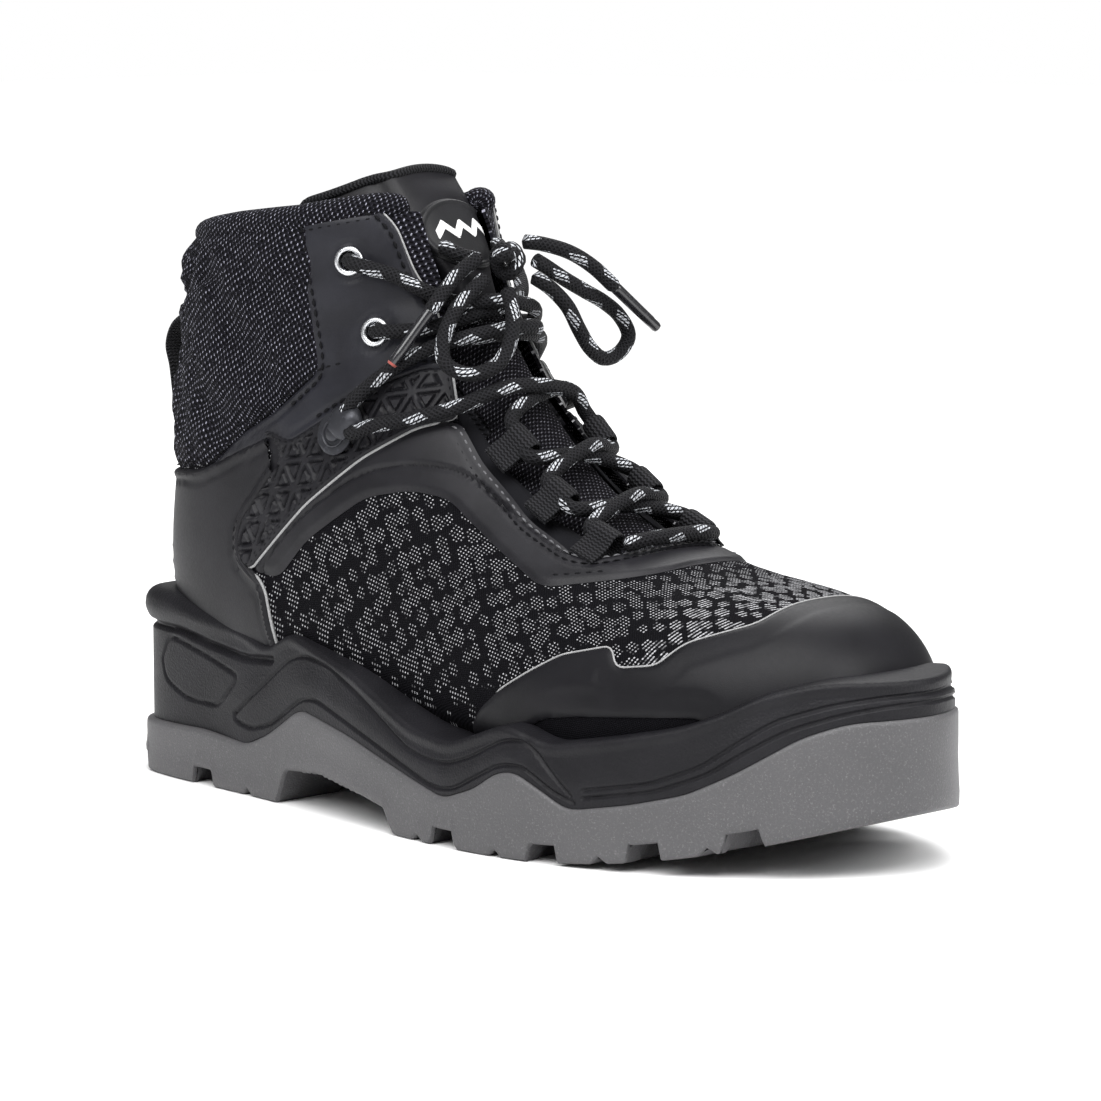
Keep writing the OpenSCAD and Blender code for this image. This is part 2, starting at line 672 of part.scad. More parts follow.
module webbing_loops() {
    color("#1b1c20") for (s = LOOP_PLACES, side = [-1, 1])
        seat([s, loop_side * side], [s, 0], 3) webbing_loop();
}

function lay(route) = [for (p = route) on_upper(p[0], p[1], p[2])];
function mirrored(route) = [for (p = route) [p[0], -p[1], p[2]]];
lift_low = 1.6;
lift_high = 5.2;

module lace() {
    pairs = [for (i = [0:1]) [LOOP_PLACES[2 - i], LOOP_PLACES[1 - i]]];
    color("#17181b") fuse() {
        tube(lay(LACE_BAR), lace_d);
        for (pair = pairs) {
            tube(lay(crossing(pair[0], pair[1], lift_high)), lace_d);
            tube(lay(mirrored(crossing(pair[0], pair[1], lift_low))), lace_d);
        }
        tube(lay(to_hook(lift_high)), lace_d);
        tube(lay(mirrored(to_hook(lift_low))), lace_d);
        tube(lay(to_eyelet(lift_high)), lace_d);
        tube(lay(mirrored(to_eyelet(lift_low))), lace_d);
        for (route = [LACE_TOP, mirrored(LACE_TOP)])
            tube(concat(lay(route), [knot_centre - [7, -3 * sign(route[0][1]), 0]]), lace_d);
    }
}

module lace_knot() {
    wrap_r = 3.1;
    color("#17181b") translate(knot_centre) {
        rotate([90, 0, 20]) rotate_extrude() translate([wrap_r, 0]) circle(d = lace_d);
        sphere(r = 3.4);
    }
}

module aglet(from, to) {
    dir = (to - from) / norm(to - from);
    tilt = acos(dir.z);
    turn = atan2(dir.y, dir.x);
    color("#101114") translate(from + dir * gap) rotate([0, tilt, turn])
        cylinder(d = 0.75 * lace_d, h = aglet_len, $fn = 24);
}

module cord_tube(route) {
    color("#17181b") fuse() tube(route, lace_d);
}

// ---- Tongue ----

tongue_half = 0.42;
tongue_strips = 18;
face_t = 1;
function tongue_columns(trim) = [for (i = [trim:tongue_strips - trim])
    tongue_half * (2 * i / tongue_strips - 1)];
function tongue_layer(low) = function (s, v) tongue_face_depth(s, v) - low;

// Front and side outlines of the tongue, with its top edge as an arc.
module tongue_outline() {
    half_w = 34;
    side_z = 167;
    crown = 24;
    rotate([90, 0, 90]) linear_extrude(260)
        polygon(concat([[half_w, 0]], [for (w = [0:12:180]) [half_w * cos(w), side_z + crown * sin(w)]],
            [[-half_w, 0]]));
}

module tongue_cut() {
    intersection() {
        tongue_outline();
        side_prism(TONGUE_SIDE, 0);
    }
}

module tongue_face() {
    color("#1e1f23") fuse() intersection() {
        sheet(rows(5.6, 15), tongue_columns(0), tongue_layer(face_t), tongue_layer(0));
        tongue_cut();
    }
}

module tongue_foam() {
    foam_top = face_t + gap;
    color("#3a3c41") fuse() intersection() {
        sheet(rows(5.6, 15), tongue_columns(1), tongue_layer(foam_top + tongue_pad_t),
            tongue_layer(foam_top));
        translate([0, 0, -2]) tongue_cut();
    }
}

module tongue_badge() {
    badge_w = 31;
    badge_h = 20;
    badge_t = 1.6;
    centre = [2, 170];
    color("#1a1b1e") fuse() intersection() {
        sheet(rows(9.8, 13.6), tongue_columns(6), tongue_layer(-gap), tongue_layer(-gap - badge_t));
        rotate([90, 0, 90]) linear_extrude(200)
            polygon([for (w = [0:15:345]) centre + [badge_w / 2 * cos(w), badge_h / 2 * sin(w)]]);
    }
}

// ---- Pull loop ----

// Outline of a ribbon of one thickness along a flat route.
function ribbon(route, t) = let (
    n = len(route),
    sides = [for (i = [0:n - 1]) let (d = route[min(i + 1, n - 1)] - route[max(i - 1, 0)])
        [-d.y, d.x] / norm(d) * t / 2])
    concat([for (i = [0:n - 1]) route[i] + sides[i]], [for (i = [n - 1:-1:0]) route[i] - sides[i]]);

module pull_loop() {
    pinch = 6;
    color("#202125") intersection() {
        rotate([90, 0, 0]) linear_extrude(pull_w, center = true) polygon(ribbon(PULL_PATH, pull_t));
        // Narrower where each end is sewn down.
        rotate([90, 0, 90]) linear_extrude(40, center = true)
            polygon([[-pinch, 90], [pinch, 90], [pinch, 100], [pull_w / 2, 106], [pull_w / 2, 137],
                [pinch, 142], [pinch, 150], [-pinch, 150], [-pinch, 142], [-pull_w / 2, 137],
                [-pull_w / 2, 106], [-pinch, 100]]);
    }
}

fitted() outsole();
fitted() midsole();
fitted() insole_board();
fitted() footbed();
fitted() toe_cap();
fitted() heel_stiffener();
fitted() lining_front();
fitted() lining_back();
fitted() vamp();
fitted() quarters();
fitted() collar_cover();
fitted() collar_foam();
fitted() collar_roll();
fitted() toe_overlay();
fitted() quarter_overlay();
fitted() heel_counter();
fitted() strap(-1);  // strap_lateral
fitted() strap(1);  // strap_medial
fitted() eyestay(-1);  // eyestay_lateral
fitted() eyestay(1);  // eyestay_medial
fitted() eyelets();
fitted() hooks();
fitted() hook_rivets();
fitted() webbing_loops();
fitted() lace();
fitted() lace_knot();
fitted() tongue_face();
fitted() tongue_foam();
fitted() tongue_badge();
fitted() cord_tube(BOW_LATERAL);  // bow_loop_lateral
fitted() cord_tube(END_LATERAL);  // lace_end_lateral
fitted() aglet(END_LATERAL[3], AGLET_LATERAL_TO);  // aglet_lateral
fitted() cord_tube(BOW_MEDIAL);  // bow_loop_medial
fitted() cord_tube(END_MEDIAL);  // lace_end_medial
fitted() aglet(END_MEDIAL[4], AGLET_MEDIAL_TO);  // aglet_medial
fitted() pull_loop();
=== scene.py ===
"""Steel toe work boot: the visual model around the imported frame.

Surface places are given as [section, side], and outlines as [x, z] in
millimetres from the heel, as the part's own source draws them.
"""
import math

import bpy
import numpy as np
from mathutils import Matrix, Vector


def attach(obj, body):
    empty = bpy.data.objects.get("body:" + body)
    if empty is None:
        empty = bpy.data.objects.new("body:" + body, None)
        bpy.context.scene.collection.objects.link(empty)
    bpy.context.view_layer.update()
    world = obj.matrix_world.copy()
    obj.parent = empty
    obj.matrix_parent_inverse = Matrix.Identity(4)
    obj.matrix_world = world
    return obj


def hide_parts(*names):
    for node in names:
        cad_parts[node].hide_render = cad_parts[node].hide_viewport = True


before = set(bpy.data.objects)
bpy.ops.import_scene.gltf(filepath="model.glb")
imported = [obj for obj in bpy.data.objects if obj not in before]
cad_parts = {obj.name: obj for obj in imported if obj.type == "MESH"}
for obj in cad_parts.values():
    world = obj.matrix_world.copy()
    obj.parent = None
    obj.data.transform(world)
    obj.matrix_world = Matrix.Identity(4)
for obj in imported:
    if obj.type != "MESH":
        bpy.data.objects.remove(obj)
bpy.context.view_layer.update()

MM = 0.001
# The part's drawing origin is under the heel, and the frame's is under the middle of the box.
DRAWN_CENTRE = np.array([154.1, -8.1, 0.0])


def placed(points):
    """Drawing points in mm, as frame points in metres."""
    return (np.asarray(points, float) - DRAWN_CENTRE) * MM


# ---------------------------------------------------------------- camera, light and floor

CAMERA_AZIMUTH = math.radians(42.6)
CAMERA_ELEVATION = math.radians(6.87)
CAMERA_ROLL = math.radians(-0.2)
CAMERA_DISTANCE = 1.5
CAMERA_TARGET = Vector((0.0061, 0.0072, 0.0785))
SENSOR = 36.0
LENS = 166.5


def look(azimuth, elevation):
    """Direction from the target to an eye at that azimuth and elevation."""
    return Vector((math.sin(azimuth) * math.cos(elevation), -math.cos(azimuth) * math.cos(elevation),
                   math.sin(elevation)))


def make_camera():
    data = bpy.data.cameras.new("camera")
    data.lens = LENS
    data.sensor_width = SENSOR
    camera = bpy.data.objects.new("camera", data)
    bpy.context.scene.collection.objects.link(camera)
    back = look(CAMERA_AZIMUTH, CAMERA_ELEVATION)
    turn = back.to_track_quat("Z", "Y").to_matrix() @ Matrix.Rotation(CAMERA_ROLL, 3, "Z")
    camera.matrix_world = Matrix.Translation(CAMERA_TARGET + back * CAMERA_DISTANCE) @ turn.to_4x4()
    bpy.context.scene.camera = camera


def add_light(name, kind, azimuth, elevation, power, distance=0.0, **settings):
    """Lamp that shines on the boot from that azimuth and elevation in degrees."""
    data = bpy.data.lights.new(name, kind)
    data.energy = power
    for setting, value in settings.items():
        setattr(data, setting, value)
    light = bpy.data.objects.new(name, data)
    bpy.context.scene.collection.objects.link(light)
    out = look(math.radians(azimuth), math.radians(elevation))
    light.matrix_world = (Matrix.Translation(CAMERA_TARGET + out * distance)
                          @ out.to_track_quat("Z", "Y").to_matrix().to_4x4())


def make_world():
    """White behind the boot, and dimmer as a light, so that black pieces keep their contrast."""
    world = bpy.data.worlds.new("studio")
    world.use_nodes = True
    tree = world.node_tree
    lit = tree.nodes["Background"]
    lit.inputs["Color"].default_value = (1, 1, 1, 1)
    lit.inputs["Strength"].default_value = 0.20
    seen = tree.nodes.new("ShaderNodeBackground")
    seen.inputs["Color"].default_value = (1, 1, 1, 1)
    mix = tree.nodes.new("ShaderNodeMixShader")
    rays = tree.nodes.new("ShaderNodeLightPath")
    tree.links.new(rays.outputs["Is Camera Ray"], mix.inputs[0])
    tree.links.new(lit.outputs[0], mix.inputs[1])
    tree.links.new(seen.outputs[0], mix.inputs[2])
    tree.links.new(mix.outputs[0], tree.nodes["World Output"].inputs["Surface"])
    bpy.context.scene.world = world


def make_studio():
    make_world()
    bpy.context.scene.view_settings.view_transform = "Standard"
    add_light("overhead", "SUN", 60, 66, 3.2, angle=math.radians(50))
    add_light("key", "AREA", 5, 40, 9, 1.2, size=0.7)
    add_light("side", "AREA", 110, 32, 7, 1.2, size=0.6)
    add_light("back", "AREA", 215, 45, 8, 1.4, size=0.9)
    bpy.ops.mesh.primitive_plane_add(size=12)
    floor = bpy.context.active_object
    floor.name = "floor"
    graph = Graph("floor_paint")
    speck = graph.noise(graph.object_mm(), 0.02, 3)
    colour = graph.blend_colour(speck, (0.95, 0.95, 0.95), (0.97, 0.97, 0.97))
    graph.finish(colour, rough=0.9, specular=0.1)
    floor.data.materials.append(graph.material)


# ---------------------------------------------------------------- materials

class Value:
    """Output of a material node, so that materials are written as sums and products."""

    def __init__(self, graph, socket):
        self.graph = graph
        self.socket = socket

    def __add__(self, other):
        return self.graph.math("ADD", self, other)

    def __radd__(self, other):
        return self.graph.math("ADD", other, self)

    def __sub__(self, other):
        return self.graph.math("SUBTRACT", self, other)

    def __rsub__(self, other):
        return self.graph.math("SUBTRACT", other, self)

    def __mul__(self, other):
        return self.graph.math("MULTIPLY", self, other)

    def __abs__(self):
        return self.graph.math("ABSOLUTE", self)


class Graph:
    """A node material, written as expressions. Lengths are in mm."""

    def __init__(self, name):
        self.material = bpy.data.materials.new(name)
        self.material.use_nodes = True
        self.tree = self.material.node_tree
        self.shader = self.tree.nodes["Principled BSDF"]

    def add(self, kind, inputs=(), output=0, **settings):
        node = self.tree.nodes.new(kind)
        for key, value in settings.items():
            setattr(node, key, value)
        for key, value in dict(inputs).items():
            self.put(node.inputs[key], value)
        return Value(self, node.outputs[output])

    def put(self, socket, value):
        if isinstance(value, Value):
            self.tree.links.new(value.socket, socket)
        elif isinstance(value, tuple) and len(value) == 3 and socket.type == "RGBA":
            socket.default_value = (*value, 1)
        else:
            socket.default_value = value

    def object_mm(self):
        point = self.add("ShaderNodeTexCoord", output=3)
        return self.scaled(point, 1000)

    def uv(self):
        return self.add("ShaderNodeUVMap", uv_map="UVMap")

    def scaled(self, vector, factor):
        factors = factor if isinstance(factor, tuple) else (factor,) * 3
        return self.add("ShaderNodeVectorMath", {0: vector, 1: factors}, operation="MULTIPLY")

    def turned(self, vector, degrees):
        turn = (0, 0, math.radians(degrees))
        return self.add("ShaderNodeMapping", {"Vector": vector, "Rotation": turn})

    def snapped(self, vector, step):
        return self.add("ShaderNodeVectorMath", {0: vector, 1: (step,) * 3}, operation="SNAP")

    def fraction(self, vector):
        return self.add("ShaderNodeVectorMath", {0: vector}, operation="FRACTION")

    def split(self, vector):
        node = self.tree.nodes.new("ShaderNodeSeparateXYZ")
        self.put(node.inputs[0], vector)
        return [Value(self, output) for output in node.outputs]

    def math(self, operation, a, b=0.0):
        return self.add("ShaderNodeMath", {0: a, 1: b}, operation=operation)

    def distance(self, a, b):
        """Length of the flat vector (a, b)."""
        return self.math("SQRT", self.math("POWER", a, 2.0) + self.math("POWER", b, 2.0))

    def ramp(self, value, low, high):
        """0 at low, 1 at high, smooth between."""
        return self.add("ShaderNodeMapRange", {"Value": value, "From Min": low, "From Max": high},
                        interpolation_type="SMOOTHSTEP")

    def noise(self, vector, scale, detail=2.0, rough=0.5):
        return self.add("ShaderNodeTexNoise", {"Vector": vector, "Scale": scale, "Detail": detail,
                                               "Roughness": rough})

    def cells(self, vector, scale, feature="F1", random=1.0):
        return self.add("ShaderNodeTexVoronoi", {"Vector": vector, "Scale": scale, "Randomness": random},
                        feature=feature)

    def wave(self, value, period):
        """A sine from 0 to 1 with that period."""
        return self.math("SINE", value * (2 * math.pi / period)) * 0.5 + 0.5

    def blend_colour(self, factor, first, second):
        return self.add("ShaderNodeMix", {0: factor, 6: first, 7: second}, output=2, data_type="RGBA")

    def bump(self, height, depth):
        """Bump from a height of 0 to 1 that is depth mm deep."""
        return self.add("ShaderNodeBump", {"Height": height, "Distance": depth * MM, "Strength": 1.0})

    def finish(self, colour, rough, normal=None, metal=0.0, sheen=0.0, coat=0.0, specular=0.5):
        inputs = self.shader.inputs
        self.put(inputs["Base Color"], colour)
        self.put(inputs["Roughness"], rough)
        inputs["Metallic"].default_value = metal
        inputs["Sheen Weight"].default_value = sheen
        inputs["Sheen Roughness"].default_value = 0.5
        inputs["Coat Weight"].default_value = coat
        inputs["Specular IOR Level"].default_value = specular
        if normal is not None:
            self.put(inputs["Normal"], normal)
        return self.material


def grain(graph, point, size):
    """Moulded grain: small rounded cells of that size, broken up by noise."""
    return graph.cells(point, 1 / size, "SMOOTH_F1") * 0.7 + graph.noise(point, 1.7 / size, 3) * 0.5


def moulded(name, dark, light, size, depth, rough, specular=0.26):
    """Moulded plastic or rubber: fine grain, faint mottle and scuffed high spots."""
    graph = Graph(name)
    point = graph.object_mm()
    patches = graph.ramp(graph.noise(point, 0.05, 4), 0.35, 0.7)
    shine = rough - 0.06 + graph.noise(point, 0.9, 3) * 0.14
    return graph.finish(graph.blend_colour(patches, dark, light), shine,
                        graph.bump(grain(graph, point, size), depth), specular=specular)


def rubber_material(name):
    """Grey rubber with pale specks."""
    graph = Graph(name)
    point = graph.object_mm()
    pale = graph.ramp(graph.noise(point, 1.6, 5, 0.75), 0.52, 0.72)
    tone = graph.blend_colour(graph.noise(point, 0.035, 3), (0.066, 0.065, 0.068), (0.092, 0.090, 0.094))
    colour = graph.blend_colour(pale * 0.55, tone, (0.225, 0.222, 0.228))
    return graph.finish(colour, 0.50, graph.bump(grain(graph, point, 0.55), 0.14), specular=0.36)


def knit_material(name):
    """Black knit with slanted clusters of small white dots, drawn out into dashes at the toe."""
    pitch = 1.25
    graph = Graph(name)
    flat = graph.uv()
    along, around, _ = graph.split(flat)
    slanted = graph.turned(flat, 18)
    toe = graph.ramp(along, 222, 246)
    cell_x, cell_y, _ = graph.split(graph.fraction(graph.scaled(slanted, 1 / pitch)))
    off_x, off_y = abs(cell_x - 0.5), abs(cell_y - 0.5)
    dot = graph.ramp(graph.distance(off_x, off_y * (1.0 - toe * 0.62)), 0.28, 0.13)
    whole = graph.scaled(graph.turned(graph.snapped(slanted, pitch), 40), (1 / 7.4, 1 / 5.2, 1))
    length, _, level = graph.split(graph.object_mm())
    under_guard = graph.ramp(length, 20, 24) * graph.ramp(level, 47, 45)
    cluster = graph.ramp(graph.cells(whole, 1.0, "F1", 0.4), 0.52, 0.46) * (1.0 - under_guard)
    shown = dot * cluster
    weave = graph.wave(along + around * 0.35, 0.8) * graph.wave(around, 0.55)
    base = graph.blend_colour(weave, (0.0022, 0.0021, 0.0028), (0.0096, 0.0092, 0.0120))
    fade = shown * graph.ramp(graph.noise(flat, 0.4, 2), 0.2, 0.6)
    colour = graph.blend_colour(fade, base, (0.50, 0.50, 0.52))
    return graph.finish(colour, 0.85, graph.bump(weave * 0.7 + shown * 0.6, 0.25), specular=0.06)


def mesh_material(name, pitch, yarn, hole, fleck, amount):
    """Spacer mesh: staggered rows of open holes, with a light yarn showing beside each."""
    graph = Graph(name)
    flat = graph.uv()
    column, row, _ = graph.split(graph.scaled(graph.turned(flat, 24), (1 / pitch, 1.35 / pitch, 1)))
    stagger = graph.math("FLOORED_MODULO", graph.math("FLOOR", row), 2.0) * 0.5
    off_x = graph.math("FRACT", column + stagger) - 0.5
    off_y = graph.math("FRACT", row) - 0.5
    rim = graph.ramp(graph.distance(off_x, off_y), 0.16, 0.36)
    bar = graph.ramp(abs(off_x + 0.42), 0.13, 0.05) * graph.ramp(abs(off_y), 0.36, 0.24)
    uneven = graph.ramp(graph.noise(flat, 0.7, 3, 0.7), 0.38, 0.62)
    colour = graph.blend_colour(bar * (uneven * amount), graph.blend_colour(rim, hole, yarn), fleck)
    height = rim + graph.wave(graph.split(flat)[0], 0.45) * 0.12
    return graph.finish(colour, 0.85, graph.bump(height, 0.6), sheen=0.01, specular=0.08)


def film_material(name, dark, light, rough):
    """Smooth coated synthetic: a faint pebble, slow tone changes and soft pressure marks."""
    graph = Graph(name)
    point = graph.object_mm()
    slow = graph.noise(point, 0.09, 3)
    colour = graph.blend_colour(graph.ramp(slow, 0.3, 0.7), dark, light)
    shine = rough - 0.05 + graph.noise(point, 0.6, 4) * 0.1
    height = grain(graph, point, 0.55) * 0.25 + slow
    return graph.finish(colour, shine, graph.bump(height, 0.12), specular=0.22)


def webbing_material(name):
    """Woven tape: ribs across it, which follow its warp threads."""
    graph = Graph(name)
    along, across, _ = graph.split(graph.uv())
    rib = graph.wave(along + graph.wave(across, 1.6) * 0.35, 1.1)
    height = rib * 0.8 + graph.wave(across, 0.5) * 0.2
    colour = graph.blend_colour(rib, (0.002, 0.002, 0.0025), (0.024, 0.024, 0.027))
    return graph.finish(colour, 0.65, graph.bump(height, 0.5), sheen=0.01, specular=0.14)


def lace_material(name):
    """Round braid: two crossing sets of strands, with pairs of white flecks along one of them."""
    strand = 1.55
    graph = Graph(name)
    along, around, _ = graph.split(graph.uv())
    braid = graph.math("MAXIMUM", graph.wave(along + around, strand), graph.wave(along - around, strand))
    lean = around - along * 0.24
    dash = graph.ramp(graph.wave(along + around, 14.0), 0.48, 0.54)
    pair = graph.ramp(graph.wave(lean, 7.05), 0.62, 0.70)
    gap = graph.ramp(graph.wave(lean, 1.41), 0.25, 0.40)
    cuts = graph.ramp(graph.wave(along - around * 0.8, 1.3), 0.12, 0.3)
    base = graph.blend_colour(braid, (0.002, 0.002, 0.0025), (0.012, 0.012, 0.014))
    colour = graph.blend_colour((dash * pair) * (gap * cuts), base, (0.62, 0.64, 0.68))
    return graph.finish(colour, 0.65, graph.bump(braid, 0.5), sheen=0.01, specular=0.14)


def thread_material(name, dark, light):
    """Thread with fine turns along its height."""
    graph = Graph(name)
    point = graph.object_mm()
    colour = graph.blend_colour(graph.noise(point, 2.5, 3), dark, light)
    turns = graph.wave(graph.split(point)[2], 0.35)
    return graph.finish(colour, 0.6, graph.bump(turns, 0.1), specular=0.1)


def metal_material(name, dark, light, rough, metal=1.0, coat=0.0):
    """Brushed metal, or hard plastic where metal is 0, with lighter worn patches."""
    graph = Graph(name)
    point = graph.object_mm()
    brushed = graph.noise(graph.scaled(point, (1, 1, 4)), 1.2, 5, 0.7)
    wear = graph.ramp(graph.noise(point, 0.7, 4), 0.55, 0.75)
    return graph.finish(graph.blend_colour(wear, dark, light), rough + brushed * 0.18,
                        graph.bump(brushed, 0.03), metal=metal, coat=coat)


def fibre_material(name, dark, light, scale, depth=0.3):
    """Felt, foam or board: fine fibres or pores."""
    graph = Graph(name)
    fibres = graph.noise(graph.object_mm(), scale, 6, 0.7)
    return graph.finish(graph.blend_colour(fibres, dark, light), 0.9, graph.bump(fibres, depth),
                        sheen=0.1, specular=0.2)


def make_materials():
    """All materials by name."""
    made = [
        (rubber_material, "outsole_rubber"),
        (moulded, "midsole_foam", (0.0074, 0.0071, 0.0088), (0.0122, 0.0118, 0.0142), 0.6, 0.16, 0.48, 0.2),
        (moulded, "toe_film", (0.0058, 0.0056, 0.007), (0.0092, 0.0089, 0.0108), 0.35, 0.03, 0.43, 0.17),
        (moulded, "counter_film", (0.0086, 0.0083, 0.0101), (0.013, 0.0126, 0.015), 0.4, 0.05, 0.47, 0.2),
        (moulded, "strap_rubber", (0.01, 0.0098, 0.0118), (0.0156, 0.0152, 0.0182), 0.3, 0.03, 0.44, 0.18),
        (moulded, "badge_rubber", (0.010, 0.010, 0.011), (0.014, 0.014, 0.016), 0.3, 0.03, 0.42),
        (film_material, "overlay_film", (0.0092, 0.0089, 0.0108), (0.0142, 0.0138, 0.0164), 0.44),
        (film_material, "eyestay_film", (0.0104, 0.0104, 0.0140), (0.0160, 0.0162, 0.0212), 0.43),
        (film_material, "tongue_film", (0.0080, 0.0077, 0.0094), (0.0124, 0.0120, 0.0144), 0.42),
        (metal_material, "aglet_plastic", (0.012, 0.012, 0.014), (0.03, 0.03, 0.034), 0.12, 0.0, 0.6),
        (metal_material, "eyelet_metal", (0.60, 0.61, 0.63), (0.75, 0.76, 0.78), 0.18),
        (metal_material, "hook_metal", (0.035, 0.036, 0.042), (0.065, 0.067, 0.078), 0.34, 0.6),
        (metal_material, "toe_cap_steel", (0.42, 0.43, 0.44), (0.55, 0.56, 0.57), 0.35),
        (knit_material, "knit_textile"),
        (mesh_material, "collar_mesh", 1.6, (0.0066, 0.0062, 0.0092), (0.0008, 0.0008, 0.0014),
                      (0.36, 0.36, 0.43), 0.9),
        (mesh_material, "tongue_mesh", 1.7, (0.0060, 0.0056, 0.0080), (0.0008, 0.0008, 0.0012),
                      (0.19, 0.19, 0.21), 0.9),
        (mesh_material, "lining_fabric", 1.5, (0.010, 0.010, 0.012), (0.002, 0.002, 0.0025),
                      (0.06, 0.06, 0.065), 0.6),
        (webbing_material, "webbing"),
        (lace_material, "lace_cord"),
        (thread_material, "pale_thread", (0.05, 0.05, 0.055), (0.20, 0.20, 0.21)),
        (thread_material, "dark_thread", (0.002, 0.002, 0.0025), (0.010, 0.010, 0.012)),
        (fibre_material, "stiffener_board", (0.16, 0.14, 0.11), (0.26, 0.23, 0.18), 1.5),
        (fibre_material, "insole_board", (0.45, 0.36, 0.23), (0.60, 0.50, 0.34), 1.2),
        (fibre_material, "footbed_foam", (0.018, 0.020, 0.028), (0.040, 0.043, 0.055), 1.0),
        (fibre_material, "foam", (0.07, 0.07, 0.08), (0.13, 0.13, 0.14), 1.8),
        # Pale edge colour: the light core of cut edges, and on the toe guard's top rim a painted highlight.
        (fibre_material, "pale_edge_and_highlight", (0.08, 0.08, 0.085), (0.55, 0.55, 0.55), 1.6, 0.15),
        (fibre_material, "white_print", (0.62, 0.62, 0.62), (0.80, 0.80, 0.80), 1.4, 0.05),
        (fibre_material, "red_tip", (0.25, 0.05, 0.04), (0.42, 0.12, 0.10), 3.0, 0.1)]
    return {name: maker(name, *settings) for maker, name, *settings in made}


# ---------------------------------------------------------------- pieces

MATERIALS = {}


def add_piece(name, points, faces, slots, uvs=None, body="boot", slot=None, replaces=(), smooth=40,
              face_slots=None):
    """Mesh piece from points in metres. slots are its materials, and smooth its crease angle."""
    mesh = bpy.data.meshes.new(name)
    mesh.from_pydata([tuple(p) for p in points], [], [tuple(int(i) for i in f) for f in faces])
    piece = bpy.data.objects.new(name, mesh)
    bpy.context.scene.collection.objects.link(piece)
    for material in slots:
        mesh.materials.append(MATERIALS[material])
    if face_slots is not None:
        mesh.polygons.foreach_set("material_index", np.asarray(face_slots, dtype=np.int32))
    if uvs is not None:
        layer = mesh.uv_layers.new(name="UVMap")
        corner = np.empty(len(mesh.loops), dtype=np.int32)
        mesh.loops.foreach_get("vertex_index", corner)
        layer.data.foreach_set("uv", np.asarray(uvs, float)[corner].ravel())
    mesh.shade_smooth()
    mesh.set_sharp_from_angle(angle=math.radians(smooth))
    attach(piece, body)
    if replaces:
        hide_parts(*replaces)
    return piece


def smooth_step(x):
    t = np.clip(x, 0, 1)
    return t * t * (3 - 2 * t)


def bump_at(d, centre, width):
    """Rounded ridge of height 1 where d is near centre."""
    t = np.clip(1 - ((d - centre) / width) ** 2, 0, 1)
    return t * t


def waves(points, scale, seed=0):
    """Smooth wandering values from -1 to 1 over points in mm."""
    p = np.asarray(points, float) / scale
    total = 0
    for k in range(5):
        turn = np.array([math.sin(1.7 * k + seed), math.cos(2.3 * k + seed), math.sin(3.1 * k + 2 * seed)])
        total = total + np.sin((p * (turn * (1 + 0.35 * k))).sum(-1) * 2 * math.pi + 1.3 * k + seed)
    return total / 5


# ---------------------------------------------------------------- surface of the upper

# [bottom x, z, top x, z, lateral and medial half width, y of the middle,
#  place of the widest point, lower and upper roundness]
SECTIONS = np.array([
    [290, 40, 290, 46, 1, 1, 0, 0.40, 3.0, 2.2],
    [293, 29, 290, 58, 21, 16, 0, 0.40, 3.0, 2.3],
    [285, 23, 278, 69, 38, 31, 0, 0.38, 3.2, 2.5],
    [264, 21, 256, 75, 48, 41, 0, 0.36, 3.4, 2.5],
    [236, 20, 233, 77, 54, 46, 0, 0.34, 3.4, 2.4],
    [206, 20, 209, 82, 55, 48, 0, 0.33, 3.4, 2.2],
    [176, 21, 188, 93, 52, 46, 0, 0.33, 3.2, 2.1],
    [143, 23, 169, 108, 47, 43, 0, 0.35, 3.0, 2.0],
    [106, 25, 156, 123, 43, 41, 0, 0.38, 2.8, 2.0],
    [66, 27, 146, 137, 40, 38, 0, 0.42, 2.6, 2.0],
    [26, 32, 138, 150, 37, 36, 0, 0.45, 2.4, 2.1],
    [11, 54, 132, 161, 35, 35, 0, 0.47, 2.3, 2.2],
    [15, 84, 126, 171, 36, 37, 0, 0.48, 2.2, 2.4],
    [20, 112, 120, 181, 37, 39, 0, 0.49, 2.2, 2.6],
    [22, 140, 114, 191, 38, 40, 0, 0.50, 2.2, 2.6],
    [33, 172, 108, 201, 38, 40, 0, 0.50, 2.2, 2.6]])
LAST = len(SECTIONS) - 1
PADDED_SECTIONS = np.vstack([2 * SECTIONS[0] - SECTIONS[1], SECTIONS, 2 * SECTIONS[-1] - SECTIONS[-2]])


def spline_weights(t):
    return [(1 - t) ** 3 / 6, (3 * t ** 3 - 6 * t * t + 4) / 6, (-3 * t ** 3 + 3 * t * t + 3 * t + 1) / 6,
            t ** 3 / 6]


def section(s):
    """Section values at section numbers s, by a cubic B-spline."""
    s = np.asarray(s, float)
    i = np.clip(np.floor(s), 0, LAST - 1).astype(int)
    weights = spline_weights(s - i)
    return sum(w[..., None] * PADDED_SECTIONS[np.clip(i + k, 0, LAST + 2)] for k, w in enumerate(weights))


